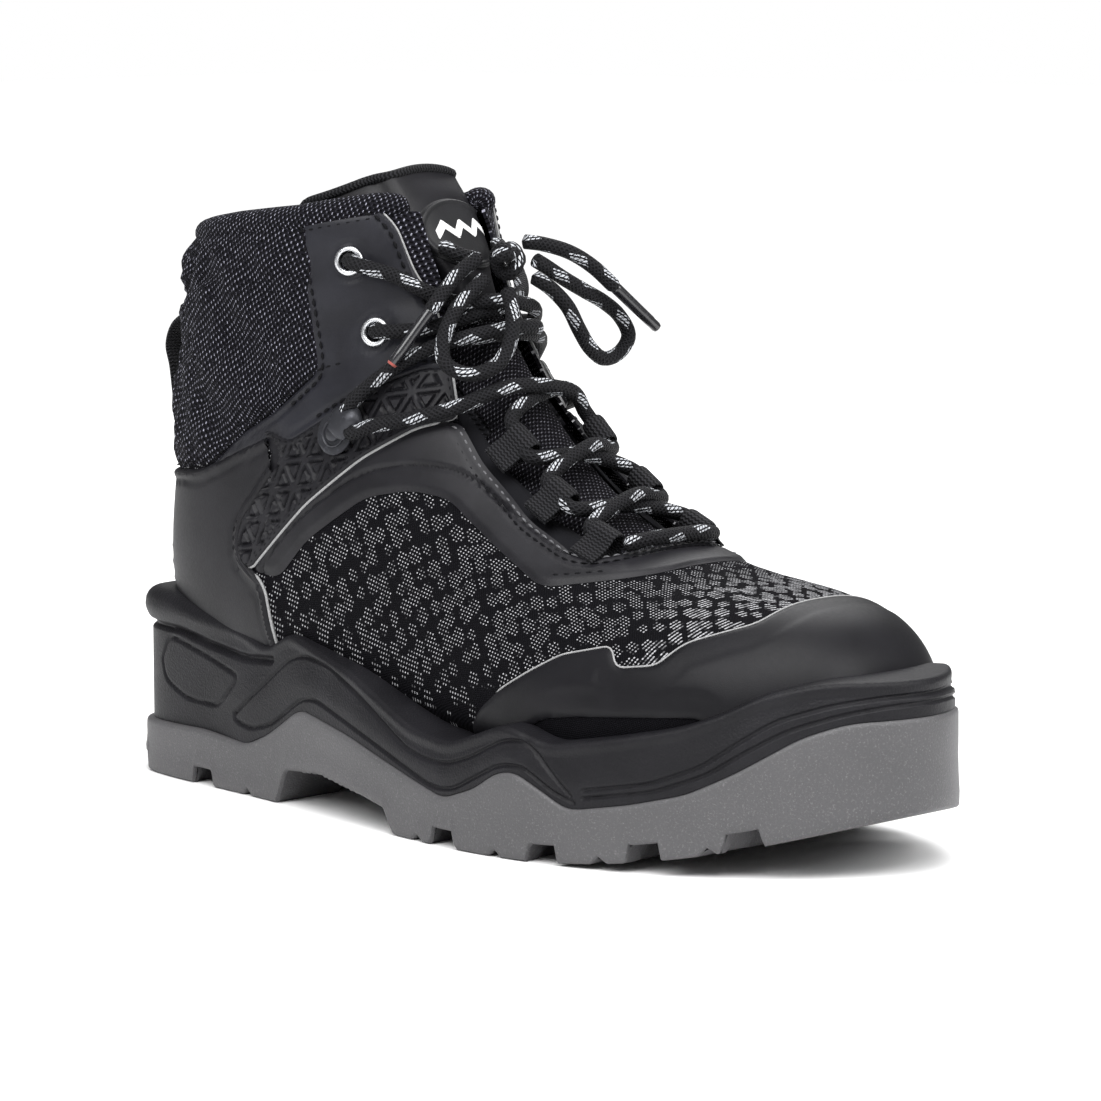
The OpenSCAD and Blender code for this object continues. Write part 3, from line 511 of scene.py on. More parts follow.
def upper_point(s, v):
    """Point on the textile's outer face: v is 0 on top, 1 or -1 at the bottom or back.

    Negative v is the outer side of the foot.
    """
    q = section(s)
    v = np.asarray(v, float)
    a = np.where(v > 1, v - 2, np.where(v < -1, v + 2, v))
    t = 1 - np.abs(a)
    low = np.pi * np.minimum(t, 0.5)
    high = np.pi * np.maximum(t - 0.5, 0)
    below = t <= 0.5
    wide = q[..., 7]
    r = np.where(below, wide * (1 - np.maximum(np.cos(low), 0) ** (2 / q[..., 8])),
                 wide + (1 - wide) * np.sin(high) ** (2 / q[..., 9]))
    h = np.where(below, np.sin(low) ** (2 / q[..., 8]), np.maximum(np.cos(high), 0) ** (2 / q[..., 9]))
    bottom, top = q[..., 0:2], q[..., 2:4]
    x, z = np.moveaxis(bottom + (top - bottom) * r[..., None], -1, 0)
    y = q[..., 6] + np.where(a < 0, -q[..., 4], q[..., 5]) * h
    return np.stack([x, y, z], -1)


def unit(vectors):
    """The same directions with length 1."""
    return vectors / np.maximum(np.linalg.norm(vectors, axis=-1, keepdims=True), 1e-9)


def lengths_along(line):
    """Distance along a line from its start to each of its points."""
    return np.concatenate([[0], np.cumsum(np.linalg.norm(np.diff(line, axis=0), axis=1))])


def read_at(values, length, at):
    """Rows of values that are known at those lengths, read off at other lengths."""
    return np.stack([np.interp(at, length, column) for column in values.T], -1)


def upper_normal(s, v):
    step = 0.02
    s = np.asarray(s, float)
    across = upper_point(s, v + step) - upper_point(s, v - step)
    forward = upper_point(s + step, v) - upper_point(np.maximum(s - step, 0), v)
    return unit(np.cross(across, forward))


def on_upper(s, v, h):
    s, v, h = np.broadcast_arrays(np.asarray(s, float), np.asarray(v, float), np.asarray(h, float))
    return upper_point(s, v) + h[..., None] * upper_normal(s, v)


def depth(s):
    """Depth of the lining's inner face, which is more in the padded collar."""
    return 4.8 + 3 * smooth_step((s - 9.5) / 1.6)


# ---------------------------------------------------------------- outlines

def rounded(outline, cut, closed=True):
    """Outline with each corner replaced by an arc that starts cut mm from it."""
    points = [np.array(p, float) for p in outline]
    n = len(points)
    result = []
    for i, p in enumerate(points):
        if not closed and i in (0, n - 1):
            result.append(p)
            continue
        before, after = points[i - 1], points[(i + 1) % n]
        reach_before = min(cut, 0.45 * np.linalg.norm(before - p))
        reach_after = min(cut, 0.45 * np.linalg.norm(after - p))
        start = p + (before - p) * reach_before / np.linalg.norm(before - p)
        end = p + (after - p) * reach_after / np.linalg.norm(after - p)
        for t in np.linspace(0, 1, 6):
            result.append((1 - t) ** 2 * start + 2 * t * (1 - t) * p + t * t * end)
    return np.array(result)


def line_distance(x, z, line):
    """Distance in the side view to an open line."""
    best = np.full(np.shape(x), 1e9)
    for a, b in zip(line[:-1], line[1:]):
        ab = b - a
        t = np.clip(((x - a[0]) * ab[0] + (z - a[1]) * ab[1]) / max((ab ** 2).sum(), 1e-9), 0, 1)
        best = np.minimum(best, np.hypot(x - a[0] - t * ab[0], z - a[1] - t * ab[1]))
    return best


def inside_distance(x, z, outline):
    """Signed distance in the side view: positive inside the closed outline."""
    inside = np.zeros(np.shape(x), bool)
    ring = np.vstack([outline, outline[:1]])
    for a, b in zip(ring[:-1], ring[1:]):
        if a[1] != b[1]:
            crosses = (a[1] > z) != (b[1] > z)
            inside ^= crosses & (x < (b[0] - a[0]) * (z - a[1]) / (b[1] - a[1]) + a[0])
    gap = line_distance(x, z, ring)
    return np.where(inside, gap, -gap)


def rise(line, x):
    line = np.asarray(line, float)
    return np.interp(x, line[:, 0], line[:, 1])


THROAT = [[240, 92], [209, 84], [202, 81.5], [195, 82.5], [178, 90.5], [157, 105.5], [145, 118],
          [141.5, 125], [138, 132], [134, 142], [131, 152], [126, 163], [121, 175], [117, 183],
          [116, 210], [250, 210]]
COLLAR_LINE = [[-30, 93], [24, 95], [55, 100.6], [66, 109], [81, 117.5], [97, 129.5], [139, 141]]
COLLAR_TOP = [[-10, 168], [27, 171], [67, 176], [90, 178.5], [112, 183], [145, 184]]
TOE_OVERLAY = [[168, 0], [174, 33], [180, 39.5], [189, 46], [200, 52], [211, 57.5], [227, 61],
               [231, 55.5], [243.5, 57], [249, 63], [264, 68.5], [262, 90], [330, 90], [330, 0]]
TOE_SLIT = [[196, 20], [199, 35], [206, 39.5], [222, 41.5], [238, 42.5], [250, 43.5], [262, 44], [250, 20]]
QUARTER = [[72, 69], [84.7, 67.5], [97, 80], [120.5, 94.5], [137, 97.5], [151, 96], [160, 90.5],
           [173, 83.5], [193, 74], [214, 77], [223, 79], [224, 95], [209, 95], [209, 84], [202, 81.5],
           [195, 82.5], [178, 90.5], [157, 105.5], [145, 118], [134, 115], [117, 105.5], [96, 90.5]]
WINDOW = QUARTER[1:11]
THROAT_EDGE = THROAT[1:8]
COUNTER = [[-30, 98], [24, 95.5], [48, 97.7], [81, 111], [85, 103], [77, 93.5], [67, 82], [66.7, 73],
           [78.6, 64.4], [82, 46], [82, 20], [-30, 20]]
STRAP = [[72, 69], [96, 90.5], [117, 105.5], [134, 115], [145, 118], [141.5, 125], [138, 132],
         [131, 132], [116, 126], [110, 121.5], [87, 109], [76, 112], [80, 103], [73, 93.5], [63, 82],
         [63, 73]]
EYESTAY = [[90, 176], [111.5, 179.5], [117, 173], [122.5, 160], [129, 150], [138, 132], [131, 132],
           [116, 126], [110, 121.5], [87, 108], [79, 109], [48, 96.5], [55, 100.6], [66, 109.3],
           [81, 117.4], [96.6, 129.7]]


# ---------------------------------------------------------------- panels on the upper

class Patch:
    """A fine grid over part of the upper, to cut panels and seam lines from."""

    SECTION_LENGTH = 27
    SIDE_LENGTH = 125

    def __init__(self, rows, columns, step):
        s = np.linspace(*rows, max(int((rows[1] - rows[0]) * self.SECTION_LENGTH / step), 8))
        v = np.linspace(*columns, max(int((columns[1] - columns[0]) * self.SIDE_LENGTH / step), 8))
        self.S, self.V = np.meshgrid(s, v, indexing="ij")
        self.P = upper_point(self.S, self.V)
        self.N = upper_normal(self.S, self.V)
        self.x, self.z = self.P[..., 0], self.P[..., 2]
        along = np.linalg.norm(np.diff(self.P, axis=0), axis=-1).mean(1)
        around = np.linalg.norm(np.diff(self.P, axis=1), axis=-1)
        u = np.concatenate([[0], np.cumsum(along)])
        w = np.concatenate([np.zeros((len(s), 1)), np.cumsum(around, axis=1)], axis=1)
        middle = len(v) // 2
        self.U = np.broadcast_to(u[:, None], w.shape)
        self.W = w - w[:, middle:middle + 1]

    def true(self, field):
        """A side-view distance field, as distance along the surface near its zero line."""
        ps = np.gradient(self.P, axis=0)
        pv = np.gradient(self.P, axis=1)
        fs = np.gradient(field, axis=0)
        fv = np.gradient(field, axis=1)
        e, f, g = (ps * ps).sum(-1), (ps * pv).sum(-1), (pv * pv).sum(-1)
        slope = np.sqrt(np.maximum(g * fs ** 2 - 2 * f * fs * fv + e * fv ** 2, 0)
                        / np.maximum(e * g - f * f, 1e-9))
        return field / np.clip(slope, 0.3, 1.0)

    def inside(self, outline, cut=3.0):
        return self.true(inside_distance(self.x, self.z, rounded(outline, cut)))

    def above(self, line):
        """Distance above a line that is given as [x, z] points."""
        return self.true(self.z - rise(line, self.x))

    def below(self, line, drop=0.0):
        return self.true(rise(line, self.x) - drop - self.z)


def chains(rim):
    """Joins pairs of vertex numbers into lines."""
    left = dict(rim)
    reached = set(left.values())
    starts = [a for a in left if a not in reached]
    lines = []
    while left:
        start = starts.pop() if starts else next(iter(left))
        line = [start]
        while line[-1] in left:
            line.append(left.pop(line[-1]))
        lines.append(line)
    return lines


class Cut:
    """The part of a patch where a field is positive: its points, faces and rim.

    d is the distance from its edge, s and v the place on the upper, and rim the pairs of
    point numbers along its edge.
    """

    def __init__(self, patch, field):
        keep = field > 0
        number = np.full(field.shape, -1)
        number[keep] = np.arange(keep.sum())
        mixes = [((i, j), (i, j), 0.0) for i, j in np.argwhere(keep)]
        crossings = {}

        def crossing(a, b):
            key = (a, b) if a < b else (b, a)
            if key not in crossings:
                fa, fb = field[key[0]], field[key[1]]
                crossings[key] = len(mixes)
                mixes.append((key[0], key[1], float(fa / (fa - fb))))
            return crossings[key]

        self.faces = []
        self.rim = []
        count = keep[:-1, :-1].astype(int) + keep[1:, :-1] + keep[1:, 1:] + keep[:-1, 1:]
        for i, j in np.argwhere(count == 4):
            self.faces.append((number[i, j], number[i, j + 1], number[i + 1, j + 1], number[i + 1, j]))
        for i, j in np.argwhere((count > 0) & (count < 4)):
            corners = [(i, j), (i + 1, j), (i + 1, j + 1), (i, j + 1)]
            loop = []
            edge = []
            for a, b in zip(corners, corners[1:] + corners[:1]):
                if keep[a]:
                    loop.append(number[a])
                if keep[a] != keep[b]:
                    loop.append(crossing(a, b))
                    edge.append((loop[-1], keep[a]))
            self.faces.append(tuple(reversed(loop)))
            for k, (vertex, leaving) in enumerate(edge):
                if leaving:
                    self.rim.append((edge[(k + 1) % len(edge)][0], vertex))
        self.first, self.second, self.share = (np.array(column) for column in zip(*mixes))
        self.point = self.take(patch.P)
        self.normal = self.take(patch.N)
        self.x, self.z = self.point[:, 0], self.point[:, 2]
        self.s, self.v = self.take(patch.S), self.take(patch.V)
        self.d = np.maximum(self.take(field), 0)
        self.uvs = np.stack([self.take(patch.U), self.take(patch.W)], -1)

    def take(self, values):
        """Values of the patch at the points of the cut."""
        a = values[self.first[:, 0], self.first[:, 1]]
        b = values[self.second[:, 0], self.second[:, 1]]
        return a + (b - a) * self.share.reshape((-1,) + (1,) * (a.ndim - 1))

    def raised(self, height):
        return self.point + height[:, None] * self.normal


def make_panel(name, cut, height, slots, edge_low=0.0, pale=None, unroll=None, **options):
    """Panel of the upper with its cut edge turned down to edge_low.

    height(cut) is in mm over the textile. pale is the part of the outline where the cut edge
    shows its light core, which on the toe guard's top rim is also a painted highlight.
    unroll(point) gives the weave's own two directions, where they don't follow the rows and columns.
    """
    uvs = cut.uvs if unroll is None else unroll(cut.point)
    outer = cut.raised(height(cut))
    edge = sorted({vertex for pair in cut.rim for vertex in pair})
    lower = {a: len(outer) + k for k, a in enumerate(edge)}
    low = edge_low(cut) if callable(edge_low) else np.full(len(outer), edge_low)
    skirt = [(a, lower[a], lower[b], b) for a, b in cut.rim]
    # Skirt faces along pale get the last slot, the light cut-edge colour, which paints a highlight on the
    # toe guard's top rim.
    light = np.zeros(len(outer), bool)
    if pale is not None:
        light = line_distance(cut.x, cut.z, np.array(pale, float)) < 2.2
    slots_of = [0] * len(cut.faces) + [len(slots) - 1 if light[a] else 0 for a, _ in cut.rim]
    return add_piece(name, placed(np.vstack([outer, cut.raised(low)[edge]])), cut.faces + skirt, slots,
                     np.vstack([uvs, uvs[edge]]), face_slots=slots_of, **options)


def split_runs(good):
    """Runs of neighbouring numbers where good is true."""
    runs = np.split(np.arange(len(good)), np.nonzero(np.diff(good.astype(int)))[0] + 1)
    return [run for run in runs if good[run[0]]]


def seam_lines(patch, field, keep):
    """Lines on the upper where field crosses zero and keep(points) is true, as (points, normals)."""
    cut = Cut(patch, field)
    result = []
    for line in chains(cut.rim):
        p, n = cut.point[line], cut.normal[line]
        result += [(p[run], n[run]) for run in split_runs(keep(p)) if len(run) > 3]
    return result


def beside(outline, reach):
    """Test for points that are within reach of an outline in the side view."""
    line = np.array(outline, float)
    return lambda p: line_distance(p[:, 0], p[:, 2], line) < reach


def even(points, normals, step):
    """The same line with points a step apart."""
    length = lengths_along(points)
    at = np.linspace(0, length[-1], max(int(length[-1] / step), 2) + 1)
    return read_at(points, length, at), unit(read_at(normals, length, at))


def band_faces(rows, count, closed=True):
    """Faces between rows of count points each. closed joins the end of a row to its start."""
    faces = []
    for i in range(rows - 1):
        for k in range(count if closed else count - 1):
            a, b = i * count + k, i * count + (k + 1) % count
            faces.append((a, a + count, b + count, b))
    return faces


class Tubes:
    """Collects swept tubes into one mesh: stitches, piping and laces."""

    def __init__(self):
        self.points, self.faces, self.uvs = [], [], []

    def sweep(self, points, normals, wide, high, sides=8, taper=0.0, gripped=0.0):
        """Adds an oval tube. taper rounds off its ends, and gripped thins its last mm."""
        points = np.asarray(points, float)
        n = len(points)
        ahead = unit(np.gradient(points, axis=0))
        side = unit(np.cross(ahead, normals))
        up = np.cross(side, ahead)
        length = lengths_along(points)
        size = np.ones(n)
        if taper:
            near = np.minimum(length, length[-1] - length) / taper
            size = np.sqrt(np.clip(1 - (1 - np.clip(near, 0, 1)) ** 2, 0.04, 1))
        if gripped:
            size = size * (1 - 0.45 * smooth_step((length - length[-1] + gripped) / 1.5))
        base = sum(len(p) for p in self.points)
        turn = np.linspace(0, 2 * np.pi, sides + 1)
        ring = (np.cos(turn)[None, :, None] * side[:, None] * wide / 2
                + np.sin(turn)[None, :, None] * up[:, None] * high / 2) * size[:, None, None]
        self.points.append((points[:, None] + ring).reshape(-1, 3))
        around = math.pi * (wide + high) / 2 * np.linspace(0, 1, sides + 1)
        self.uvs.append(np.stack(np.broadcast_arrays(length[:, None], around[None, :]), -1).reshape(-1, 2))
        caps = [tuple(range(sides)), tuple((n - 1) * (sides + 1) + k for k in reversed(range(sides)))]
        for face in band_faces(n, sides + 1, closed=False) + caps:
            self.faces.append(tuple(vertex + base for vertex in face))

    def stitches(self, line, lift, length=2.5, gap=0.9, wide=0.6):
        """A run of raised stitches along a seam line."""
        p, n = even(*line, (length + gap) / 4)
        p = p + n * lift
        arch = np.array([-0.15, 0.1, 0.12, -0.15])[:, None]
        for i in range(0, len(p) - 4, 4):
            self.sweep(p[i:i + 4] + n[i:i + 4] * arch, n[i:i + 4], wide, wide * 0.8, 6, taper=0.5)

    def piping(self, line, lift, wide, high):
        p, n = even(*line, 1.5)
        self.sweep(p + n * lift, n, wide, high, 8, taper=wide)

    def make(self, name, slots, **options):
        return add_piece(name, placed(np.vstack(self.points)), self.faces, slots,
                         np.vstack(self.uvs), smooth=60, **options)


# ---------------------------------------------------------------- sole

SOLE_PLAN = np.array([
    [-3, 2], [0, -18], [14, -30], [50, -36], [95, -45], [145, -59], [188, -68], [230, -65], [268, -53],
    [298, -33], [313, -9], [304, 16], [279, 39], [240, 52], [200, 49], [150, 39], [95, 39], [45, 41],
    [10, 34]], float)
OUTSOLE_TOP = [[-5, 16], [43, 17], [68, 15.5], [80, 20], [98, 30], [125, 25.5], [155, 18.5], [174, 14],
               [188, 18.5], [197, 24], [204, 25], [213, 21], [223, 16], [242, 19], [259, 23], [271, 29],
               [279, 34], [288, 40], [298, 44], [315, 45]]
MIDSOLE_TOP = [[-5, 57], [9, 58], [25, 58], [50, 54], [77, 45.5], [88, 51], [92, 51.5], [124, 44],
               [156, 32], [175, 30], [184, 33], [199, 38], [215, 33.5], [236, 37], [256, 41], [268, 45.5],
               [279, 51.5], [293, 55], [315, 55]]
ARCH = [[80, 0], [86, 0], [91, 10.5], [110, 12], [134, 9], [146, 7], [151, 0], [160, 0]]
GROOVES = [15, 53, 178, 217, 250, 278]
GROOVE_HALF = 5.0
CHEVRON = 12.0
TREAD_DEPTH = 5.0
NOTCHES = [34, 70, 163, 197, 233, 264]
NOTCH_START = 25.0
HEEL_BEAD_Z = 52.0
CHANNEL_LINES = [[[18, -8], [85, -11], [150, -30], [210, -34], [270, -21]],
                 [[18, 9.6], [85, 11], [150, 14], [210, 10], [270, 9.8]]]
CHANNEL_HALF = 2.0


def plan_at(u):
    """Edge of the sole in plan, at places u round its control points."""
    i = np.floor(u).astype(int)
    n = len(SOLE_PLAN)
    return sum(w[..., None] * SOLE_PLAN[(i + k - 1) % n] for k, w in enumerate(spline_weights(u - i)))


def plan_inward(u):
    d = plan_at(u + 0.01) - plan_at(u - 0.01)
    return np.stack([-d[..., 1], d[..., 0]], -1) / np.linalg.norm(d, axis=-1, keepdims=True)


def ground(x):
    """Floor line under the tread, which lifts towards the toe."""
    return 0.0016 * np.maximum(x - 200, 0) ** 2 + 1.5 * smooth_step((8 - x) / 10)


def tread(x, y):
    """Height of the sole's underside."""
    cut = np.zeros(np.broadcast(x, y).shape)
    for g in GROOVES:
        middle = g - CHEVRON * (1 - np.abs(y) / 80)
        cut = np.maximum(cut, smooth_step((GROOVE_HALF + 0.5 - np.abs(x - middle)) / 1.0))
    for line in CHANNEL_LINES:
        reach = line_distance(x, y, np.array(line, float))
        cut = np.maximum(cut, 0.75 * smooth_step((CHANNEL_HALF + 0.4 - reach) / 0.8))
    edge = np.abs(y - DRAWN_CENTRE[1]) > NOTCH_START
    for c in NOTCHES:
        cut = np.maximum(cut, 0.42 * np.clip(1 - np.abs(x - c) / 2.4, 0, 1) * edge)
    arch = rise(ARCH, x) + 0.35 * np.sin(x * 2.1) * ((x > 100) & (x < 132))
    return np.maximum(ground(x) + TREAD_DEPTH * cut, arch)


class SolePatch(Patch):
    """Grid over the underside of the sole, facing down."""

    def __init__(self, step):
        x = np.arange(-6, 318, step)
        y = np.arange(-74, 56, step)
        self.S, self.V = np.meshgrid(x, y, indexing="ij")
        self.P = np.stack([self.S, self.V, tread(self.S, self.V)], -1)
        self.N = np.broadcast_to(np.array([0.0, 0.0, -1.0]), self.P.shape)
        self.U, self.W = self.S, self.V


def sole_ring(count):
    u = np.linspace(0, len(SOLE_PLAN), count, endpoint=False)
    edge = plan_at(u)
    return edge, plan_inward(u), lengths_along(edge)


def wall(edge, inward, around, profile):
    """Band round the sole from a list of (inset, height) arrays, outside surface out."""
    n = len(edge)
    points = []
    uvs = []
    for inset, z in profile:
        inset = np.broadcast_to(inset, n)
        z = np.broadcast_to(z, n)
        points.append(np.column_stack([edge + inward * inset[:, None], z]))
        uvs.append(np.column_stack([around, z]))
    faces = [(a, b, c, d) for a, d, c, b in band_faces(len(profile), n)]
    return np.vstack(points), faces, np.vstack(uvs)


def make_outsole():
    edge, inward, around = sole_ring(760)
    inner = edge + inward * 2.4
    low = tread(inner[:, 0], inner[:, 1])
    top = rise(rounded(OUTSOLE_TOP, 4, closed=False), edge[:, 0])
    side = [(2.4, low), (1.5, low + 0.25), (1.0, low + 0.9)]
    for share in (0.15, 0.35, 0.55, 0.75):
        z = low + 0.9 + share * (top - low - 2.6)
        side.append((0.75 + 0.5 * share + 0.35 * bump_at(share, 0.5, 0.5), z))
    side += [(1.35, top - 1.5), (1.5, top - 0.7), (1.9, top - 0.2), (2.5, top), (5.4, top), (6.0, top - 3)]
    points, faces, uvs = wall(edge, inward, around, side)
    under = SolePatch(1.6)
    plan = (edge + inward * 2.3)[::4]
    cut = Cut(under, inside_distance(under.S, under.V, plan))
    under_faces = [tuple(i + len(points) for i in face) for face in cut.faces]
    add_piece("outsole_cup", placed(np.vstack([points, cut.point])), faces + under_faces,
              ["outsole_rubber"], np.vstack([uvs, cut.point[:, :2]]), replaces=["outsole"], smooth=42)


# Grooves of the midsole's sides, as [x, z] lines with a width and depth.
MIDSOLE_GROOVES = [
    ([[-3, 46.5], [30, 46.5], [44, 44], [66, 41.5], [80, 42.5]], 1.5, 1.3),
    ([[18, 36], [23, 44], [34, 42], [46, 39.5], [63, 35.5], [51, 25], [33, 25.5], [20, 30], [18, 36]],
     0.7, 0.55),
    ([[61, 24], [77, 35], [90, 44], [98, 46], [112, 44.5], [133, 36], [155, 26], [166, 24], [175, 24],
      [185, 27], [199, 33.5], [208, 34], [216, 27], [224, 20]], 0.7, 0.6),
    ([[61, 24], [61, 22], [70, 20.5], [82, 23.5], [98, 33], [106, 34], [140, 25], [169, 16.6], [178, 17],
      [198, 26.5], [207, 27], [217, 21], [225, 18.3]], 0.7, 0.6),
    ([[228, 22], [249, 25.5], [263, 31], [274, 39], [282, 44.5], [295, 49], [306, 51], [318, 51]],
     0.7, 0.6),
    ([[228, 19.8], [249, 23], [264, 28.5], [276, 36.5], [285, 42], [297, 46.5], [307, 48.7], [318, 48.7]],
     0.7, 0.6)]


def reach_of_upper(edge, height):
    """Distance in plan from each point of the sole's edge to the upper at that height."""
    rows, columns = np.meshgrid(np.linspace(0, 12.3, 110), np.linspace(-1, 1, 240), indexing="ij")
    upper = upper_point(rows, columns).reshape(-1, 3)
    upper = upper[upper[:, 2] < 75]
    reach = np.empty(len(edge))
    for i, (place, z) in enumerate(zip(edge, height)):
        near = upper[np.abs(upper[:, 2] - z) < 3]
        reach[i] = np.hypot(*(near[:, :2] - place).T).min()
    window = np.ones(21) / 21
    return np.convolve(np.concatenate([reach[-10:], reach, reach[:10]]), window, "valid")


def make_midsole():
    edge, inward, around = sole_ring(1300)
    x = edge[:, 0]
    low = rise(rounded(OUTSOLE_TOP, 4, closed=False), x) + 0.15
    top = rise(rounded(MIDSOLE_TOP, 5, closed=False), x)
    heel = smooth_step((72 - x) / 30)
    profile = [(4.2, low - 0.4)]
    corner = 1.7 + 3.4 * heel
    for share in np.linspace(0, 1, 60):
        z = low + share * (top - low - corner)
        inset = 2.3 + 1.5 * smooth_step((share - 0.35) / 0.65) * (1 - heel)
        bead = bump_at(z, HEEL_BEAD_Z, 6.6) * heel
        inset = inset + 1.3 * heel - 2.3 * bead
        for line, wide, deep in MIDSOLE_GROOVES:
            reach = line_distance(x, z, rounded(line, 4, closed=False))
            inset = inset + 1.25 * deep * bump_at(reach, 0, wide + 0.2)
        seam_lip = 0.5 * bump_at(top - z, 1.8, 2.2)
        profile.append((inset - seam_lip * (1 - heel), z))
    last = profile[-1][0]
    for turn in (18, 36, 54, 72, 90):
        a = math.radians(turn)
        profile.append((last + corner * (1 - math.cos(a)), top - corner * (1 - math.sin(a))))
    inner = np.maximum(reach_of_upper(edge, top) + 2.5, last + corner + 1)
    profile += [((last + corner + inner) / 2, top + 0.2), (inner, top + 0.4)]
    points, faces, uvs = wall(edge, inward, around, profile)
    add_piece("midsole_wall", placed(points), faces, ["midsole_foam"], uvs, replaces=["midsole"],
              smooth=50)


# ---------------------------------------------------------------- upper

def along_foot(point):
    """Textile directions of the vamp: length, and distance round from the top."""
    x, y, z = point.T
    return np.stack([x, y + np.tanh(y / 25) * (90 - z)], -1)


def round_ankle(point):
    """Textile directions of the collar: round the leg, and height."""
    x, y, z = point.T
    return np.stack([40 * np.arctan2(y, x - 72 + 0.25 * (z - 140)), z], -1)


def make_knit():
    patch = Patch((0.0, 12.3), (-1.0, 1.0), 1.3)
    field = np.minimum(-patch.inside(THROAT), 6.0)
    field = np.minimum(field, patch.below(COLLAR_LINE) + 1.5)

    def height(at):
        return 0.12 * waves(at.point, 26, 1) + 0.05 * waves(at.point, 9, 2)
    make_panel("knit_upper", Cut(patch, field), height, ["knit_textile"], edge_low=-1.0,
               unroll=along_foot, replaces=["vamp", "quarters"])


def make_toe_overlay():
    patch = Patch((0.0, 6.6), (-0.98, 0.98), 1.1)
    field = np.minimum(patch.inside(TOE_OVERLAY, 2.5), -patch.inside(TOE_SLIT, 6))

    def height(at):
        crease = smooth_step((at.d - 6.5) / 2.2) * smooth_step((at.z - 42) / 8)
        return 0.2 + 0.75 * smooth_step(0.35 + at.d / 1.4) + 0.3 * crease
    # The pale run along the guard's top rim is a painted highlight as well as the cut edge's light core.
    make_panel("toe_guard", Cut(patch, field), height, ["toe_film", "pale_edge_and_highlight"], edge_low=-0.3,
               pale=TOE_OVERLAY[4:12], replaces=["toe_overlay"])


def make_quarter_overlay():
    patch = Patch((3.6, 10.9), (-0.68, 0.68), 0.55)
    window = rounded(WINDOW, 9, closed=False)
    throat = rounded(THROAT_EDGE, 5, closed=False)

    def height(at):
        reach = line_distance(at.x, at.z, window)
        groove = bump_at(reach, 7.6, 0.8)
        inner = smooth_step((reach - 6.6) / 2.5)
        fold = bump_at(line_distance(at.x, at.z, throat), 2.3, 1.1)
        return 0.15 + 1.0 * smooth_step(0.2 + at.d / 3.2) + 0.45 * inner - 0.9 * groove - 0.35 * fold
    make_panel("quarter_film", Cut(patch, patch.inside(QUARTER, 5)), height, ["overlay_film"],
               edge_low=-0.2, replaces=["quarter_overlay"])


def make_counter():
    patch = Patch((8.2, 12.6), (-1.53, -0.47), 1.0)

    def height(at):
        rim = bump_at(at.d, 1.5, 1.7)
        groove = bump_at(at.d, 3.9, 0.9)
        fins = sum(bump_at(at.z, level, 1.3) for level in (61, 66, 71)) * smooth_step((24 - at.x) / 8)
        return 0.3 + 1.0 * smooth_step(0.3 + at.d / 1.6) + 0.75 * rim - 0.45 * groove + 0.9 * fins
    make_panel("heel_guard", Cut(patch, patch.inside(COUNTER, 4)), height, ["counter_film", "pale_edge_and_highlight"],
               edge_low=-0.3, pale=COUNTER[8:11], replaces=["heel_counter"])


def lattice(x, z, size):
    """Height of a relief of triangles: 1 on the ridges between them, and in the middle of each."""
    high = size * math.sqrt(3) / 2
    reach = np.full(np.shape(x), 1e9)
    for angle in (38, 98, 158):
        a = math.radians(angle)
        q = (x * math.cos(a) + z * math.sin(a)) / high
        reach = np.minimum(reach, np.abs(q - np.round(q)) * high)
    ridge = 1 - smooth_step((reach - 0.6) / 0.3)
    middle = smooth_step((reach - 1.4) / 0.3)
    return np.maximum(ridge, middle)


def one_side(side, nearest, furthest):
    """Range of v on one side of the boot: side is -1 for lateral and 1 for medial."""
    return tuple(sorted((side * nearest, side * furthest)))


def make_strap(side, name):
    patch = Patch((7.4, 11.8), one_side(side, 0.08, 0.70), 0.34)

    def height(at):
        inside = smooth_step((at.d - 1.9) / 0.4)
        relief = 0.3 + 1.4 * smooth_step(0.3 + at.d / 1.2) - inside * (1 - lattice(at.x, at.z, 9.4))
        tucked = smooth_step(inside_distance(at.x, at.z, rounded(COUNTER, 4)) - 0.2)
        return relief + (0.4 - relief) * tucked
    make_panel("strap_" + name + "_film", Cut(patch, patch.inside(STRAP, 2.5)), height,
               ["strap_rubber", "pale_edge_and_highlight"], edge_low=-0.2, pale=STRAP[:7], replaces=["strap_" + name])


EYELET_PLACES = [(12.45, 0.28), (10.83, 0.26)]


def make_eyestay(side, name):
    patch = Patch((8.6, 14.8), one_side(side, 0.05, 0.72), 0.9)
    field = patch.inside(EYESTAY, 3)
    for s, v in EYELET_PLACES:
        field = np.minimum(field, np.linalg.norm(patch.P - upper_point(s, side * v), axis=-1) - 3.3)

    def height(at):
        stitched = bump_at(at.d, 2.2, 1.3)
        return 0.35 + 0.8 * smooth_step(0.3 + at.d / 1.5) - 0.5 * stitched + 0.25 * waves(at.point, 30, 4)
    make_panel("eyestay_" + name + "_film", Cut(patch, field), height, ["eyestay_film", "pale_edge_and_highlight"],
               edge_low=-0.2, pale=EYESTAY[1:6], replaces=["eyestay_" + name])


ROLL = 7.2
COLLAR_SPAN = (-1.955, -0.045)
CLOTH_SETTINGS = {
    "vertex_group_mass": "seams", "quality": 5, "mass": 0.3, "tension_stiffness": 15,
    "compression_stiffness": 15, "shear_stiffness": 5, "bending_stiffness": 0.02, "shrink_min": -0.06,
    "use_pressure": True, "uniform_pressure_force": 1.5}


def vertex_rows(vertices, what):
    """One row of three numbers for each vertex: its place ("co") or its normal ("normal")."""
    rows = np.empty(len(vertices) * 3)
    vertices.foreach_get(what, rows)
    return rows.reshape(-1, 3)


